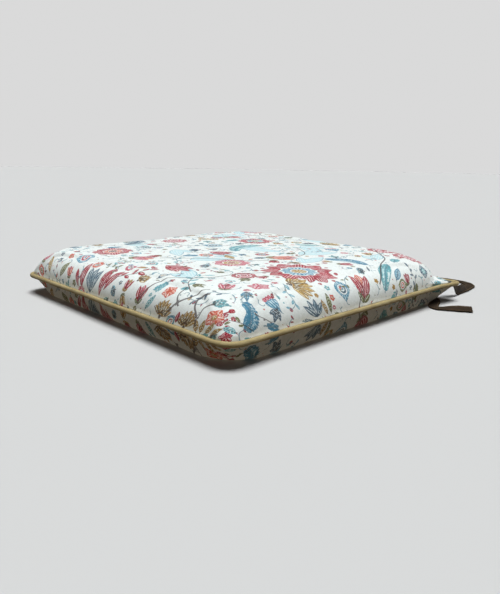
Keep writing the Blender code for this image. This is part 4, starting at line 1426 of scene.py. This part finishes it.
def make_tacks(look):
    """Each bar tack as a row of close stitches over two core threads."""
    for label in ("right", "left"):
        for number in (1, 2):
            node = f"bar_tack_{label}_{number}"
            corners = np.unique(np.round([v.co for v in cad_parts[node].data.vertices], 6), axis=0)
            middle = corners.mean(axis=0)
            edges = corners[1:] - corners[0]
            sizes = np.linalg.norm(edges, axis=1)
            order = np.argsort(sizes)
            thin, wide = edges[order[0]], edges[order[1]]
            long_edge = max(
                edges,
                key=lambda e: np.linalg.norm(e) if abs(e @ thin) + abs(e @ wide) < 1e-9 else 0,
            )
            out = thin if thin @ (middle * (1.0, 1.0, 0.0)) > 0 else -thin
            count = 11
            points, faces = [], []
            for k in range(count):
                spot = middle + long_edge * ((k + 0.5) / count - 0.5) * 0.94
                line = [
                    spot + wide * w + out * o
                    for w, o in TACK_LOOP
                ]
                rings = tube_rings(line, lambda i: circle(0.00024, 6))
                faces += skin_faces(len(rings), 6, start=len(points))
                points += rings.reshape(-1, 3).tolist()
            for w in (-0.25, 0.25):
                line = [middle + wide * w + long_edge * s + out * o for s, o in TACK_CORE]
                rings = tube_rings(line, lambda i: circle(0.0002, 6))
                faces += skin_faces(len(rings), 6, start=len(points))
                points += rings.reshape(-1, 3).tolist()
            obj = add_mesh(f"tack_{label}_{number}", points, faces, look)
            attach(obj, "pad")
            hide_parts(node)


gold_thread = thread_material("tack_thread", srgb(226, 196, 120), srgb(176, 138, 66))
make_coils()
make_zip_stitches(thread_material("zip_thread", srgb(196, 188, 168), srgb(150, 140, 118)))
make_tacks(gold_thread)


# ---------------------------------------------------------------- what the CAD model shows as it is


def fibre_material(name, light, dark, scale, roughness=1.0, depth=0.0006):
    """Foam, wadding or filler cord: cells or fibres by noise."""
    g = Graph(name, Roughness=roughness)
    spot = g.position()
    cells = g.node("TexVoronoi", {"Vector": spot, "Scale": scale}).outputs["Distance"]
    fibres = g.noise(spot, scale * 0.4, 4.0, 0.7)
    shade = g.math("ADD", g.math("MULTIPLY", cells, 0.6), g.math("MULTIPLY", fibres, 0.6))
    g.put(g.surface.inputs["Base Color"], g.mix(g.ramp(shade, 0.3, 0.9), dark, light))
    g.bump(shade, 0.5, depth)
    return g.material


def tape_material():
    g = Graph("zip_tape", Roughness=0.85, Sheen_Weight=0.1)
    spot = g.position()
    x, _, z = g.split(spot)
    grain = g.weave(x, z, 0.0006)
    colour_input = g.surface.inputs["Base Color"]
    g.put(colour_input, g.mix(g.ramp(grain, 0.2, 1.0), srgb(150, 140, 116), srgb(184, 174, 148)))
    g.bump(grain, 0.4, 0.0002)
    return g.material


def metal_material():
    """Antique brass plating, darker in patches and brighter where it rubs."""
    g = Graph("zip_metal", Metallic=1.0)
    spot = g.position()
    worn = g.noise(spot, 420.0, 4.0, 0.6)
    colour_input = g.surface.inputs["Base Color"]
    g.put(colour_input, g.mix(g.ramp(worn, 0.4, 0.65), srgb(118, 98, 62), srgb(176, 152, 104)))
    g.put(g.surface.inputs["Roughness"], g.ramp(worn, 0.3, 0.7, 0.42, 0.26))
    g.bump(g.noise(spot, 1600.0, 3.0), 0.1, 0.0001)
    return g.material


def dress_nodes():
    foam = fibre_material("foam", srgb(236, 226, 188), srgb(204, 190, 142), 900.0)
    wadding = fibre_material("wadding", srgb(246, 246, 244), srgb(214, 214, 212), 500.0, depth=0.001)
    cord = fibre_material("cotton_cord", srgb(232, 226, 208), srgb(196, 188, 164), 1400.0, 0.9)
    tape, metal = tape_material(), metal_material()
    looks = {
        "foam_core": foam,
        "wadding_top": wadding,
        "wadding_bottom": wadding,
        "piping_cord": cord,
        "zip_tape_upper": tape,
        "zip_tape_lower": tape,
        "zip_stop_closed_end": metal,
        "zip_stop_open_end": metal,
        "zip_slider": metal,
        "zip_pull_tab": metal,
    }
    for name, look in looks.items():
        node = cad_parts[name]
        node.data.materials.clear()
        node.data.materials.append(look)


dress_nodes()


# ---------------------------------------------------------------- floor and light

STAGE_RADIUS = 9.0
WALL_GLOW = 0.70  # the floor's brightness under these lights


def make_stage():
    """A pale floor out to a plain wall of the same tone.  Neither throws light on the pad: the world does."""
    g = Graph("floor", Roughness=1.0, Specular_IOR_Level=0.0)
    g.put(g.surface.inputs["Base Color"], FLOOR_COLOUR)
    turns = [2 * math.pi * k / 96 for k in range(96)]
    ring = [(STAGE_RADIUS * math.cos(a), STAGE_RADIUS * math.sin(a), 0.0) for a in turns]
    floor = add_mesh("floor", ring, [tuple(range(96))], g.material, smooth=False)
    wall_look = bpy.data.materials.new("wall")
    wall_look.use_nodes = True
    tree = wall_look.node_tree
    glow = tree.nodes.new("ShaderNodeEmission")
    glow.inputs["Color"].default_value = (1.0, 1.0, 1.0, 1.0)
    glow.inputs["Strength"].default_value = WALL_GLOW
    tree.links.new(glow.outputs[0], tree.nodes["Material Output"].inputs["Surface"])
    low = [(x * 0.98, y * 0.98, -0.05) for x, y, _ in ring]
    high = [(x * 0.98, y * 0.98, STAGE_RADIUS) for x, y, _ in ring]
    faces = [(k, (k + 1) % 96, 96 + (k + 1) % 96, 96 + k) for k in range(96)]
    wall = add_mesh("wall", low + high, faces, wall_look, smooth=False)
    floor.visible_diffuse = False
    wall.visible_diffuse = False
    wall.visible_glossy = False
    wall.visible_shadow = False


def add_sun(name, azimuth, elevation, strength, width, colour):
    """A soft light from a compass direction: azimuth 0 is in front of the pad, and 90 to its right."""
    light = bpy.data.lights.new(name, "SUN")
    light.energy = strength
    light.angle = math.radians(width)
    light.color = colour
    a, e = math.radians(azimuth), math.radians(elevation)
    towards_light = Vector((math.sin(a) * math.cos(e), -math.cos(a) * math.cos(e), math.sin(e)))
    obj = bpy.data.objects.new(name, light)
    bpy.context.scene.collection.objects.link(obj)
    obj.rotation_euler = towards_light.to_track_quat("Z", "Y").to_euler()


def make_world():
    """Dim, cool light from above, and the warm light that a floor gives back from below."""
    world = bpy.data.worlds.new("studio")
    world.use_nodes = True
    tree = world.node_tree
    direction = tree.nodes.new("ShaderNodeTexCoord")
    parts = tree.nodes.new("ShaderNodeSeparateXYZ")
    tree.links.new(direction.outputs["Generated"], parts.inputs[0])
    height = tree.nodes.new("ShaderNodeMapRange")
    height.inputs["From Min"].default_value = -0.06
    height.inputs["From Max"].default_value = 0.06
    tree.links.new(parts.outputs["Z"], height.inputs["Value"])
    tone = tree.nodes.new("ShaderNodeMix")
    tone.data_type = "RGBA"
    tone.inputs["A"].default_value = LIGHT_BELOW
    tone.inputs["B"].default_value = LIGHT_ABOVE
    tree.links.new(height.outputs["Result"], tone.inputs["Factor"])
    tree.links.new(tone.outputs["Result"], tree.nodes["Background"].inputs["Color"])
    bpy.context.scene.world = world


FLOOR_COLOUR = srgb(200, 196, 195)
LIGHT_ABOVE = (0.05, 0.052, 0.055, 1.0)
LIGHT_BELOW = (0.145, 0.12, 0.085, 1.0)
make_stage()
make_world()
add_sun("overhead", 95.0, 84.0, 3.9, 34.0, (0.93, 0.99, 1.0))
bpy.context.scene.view_settings.view_transform = "Standard"
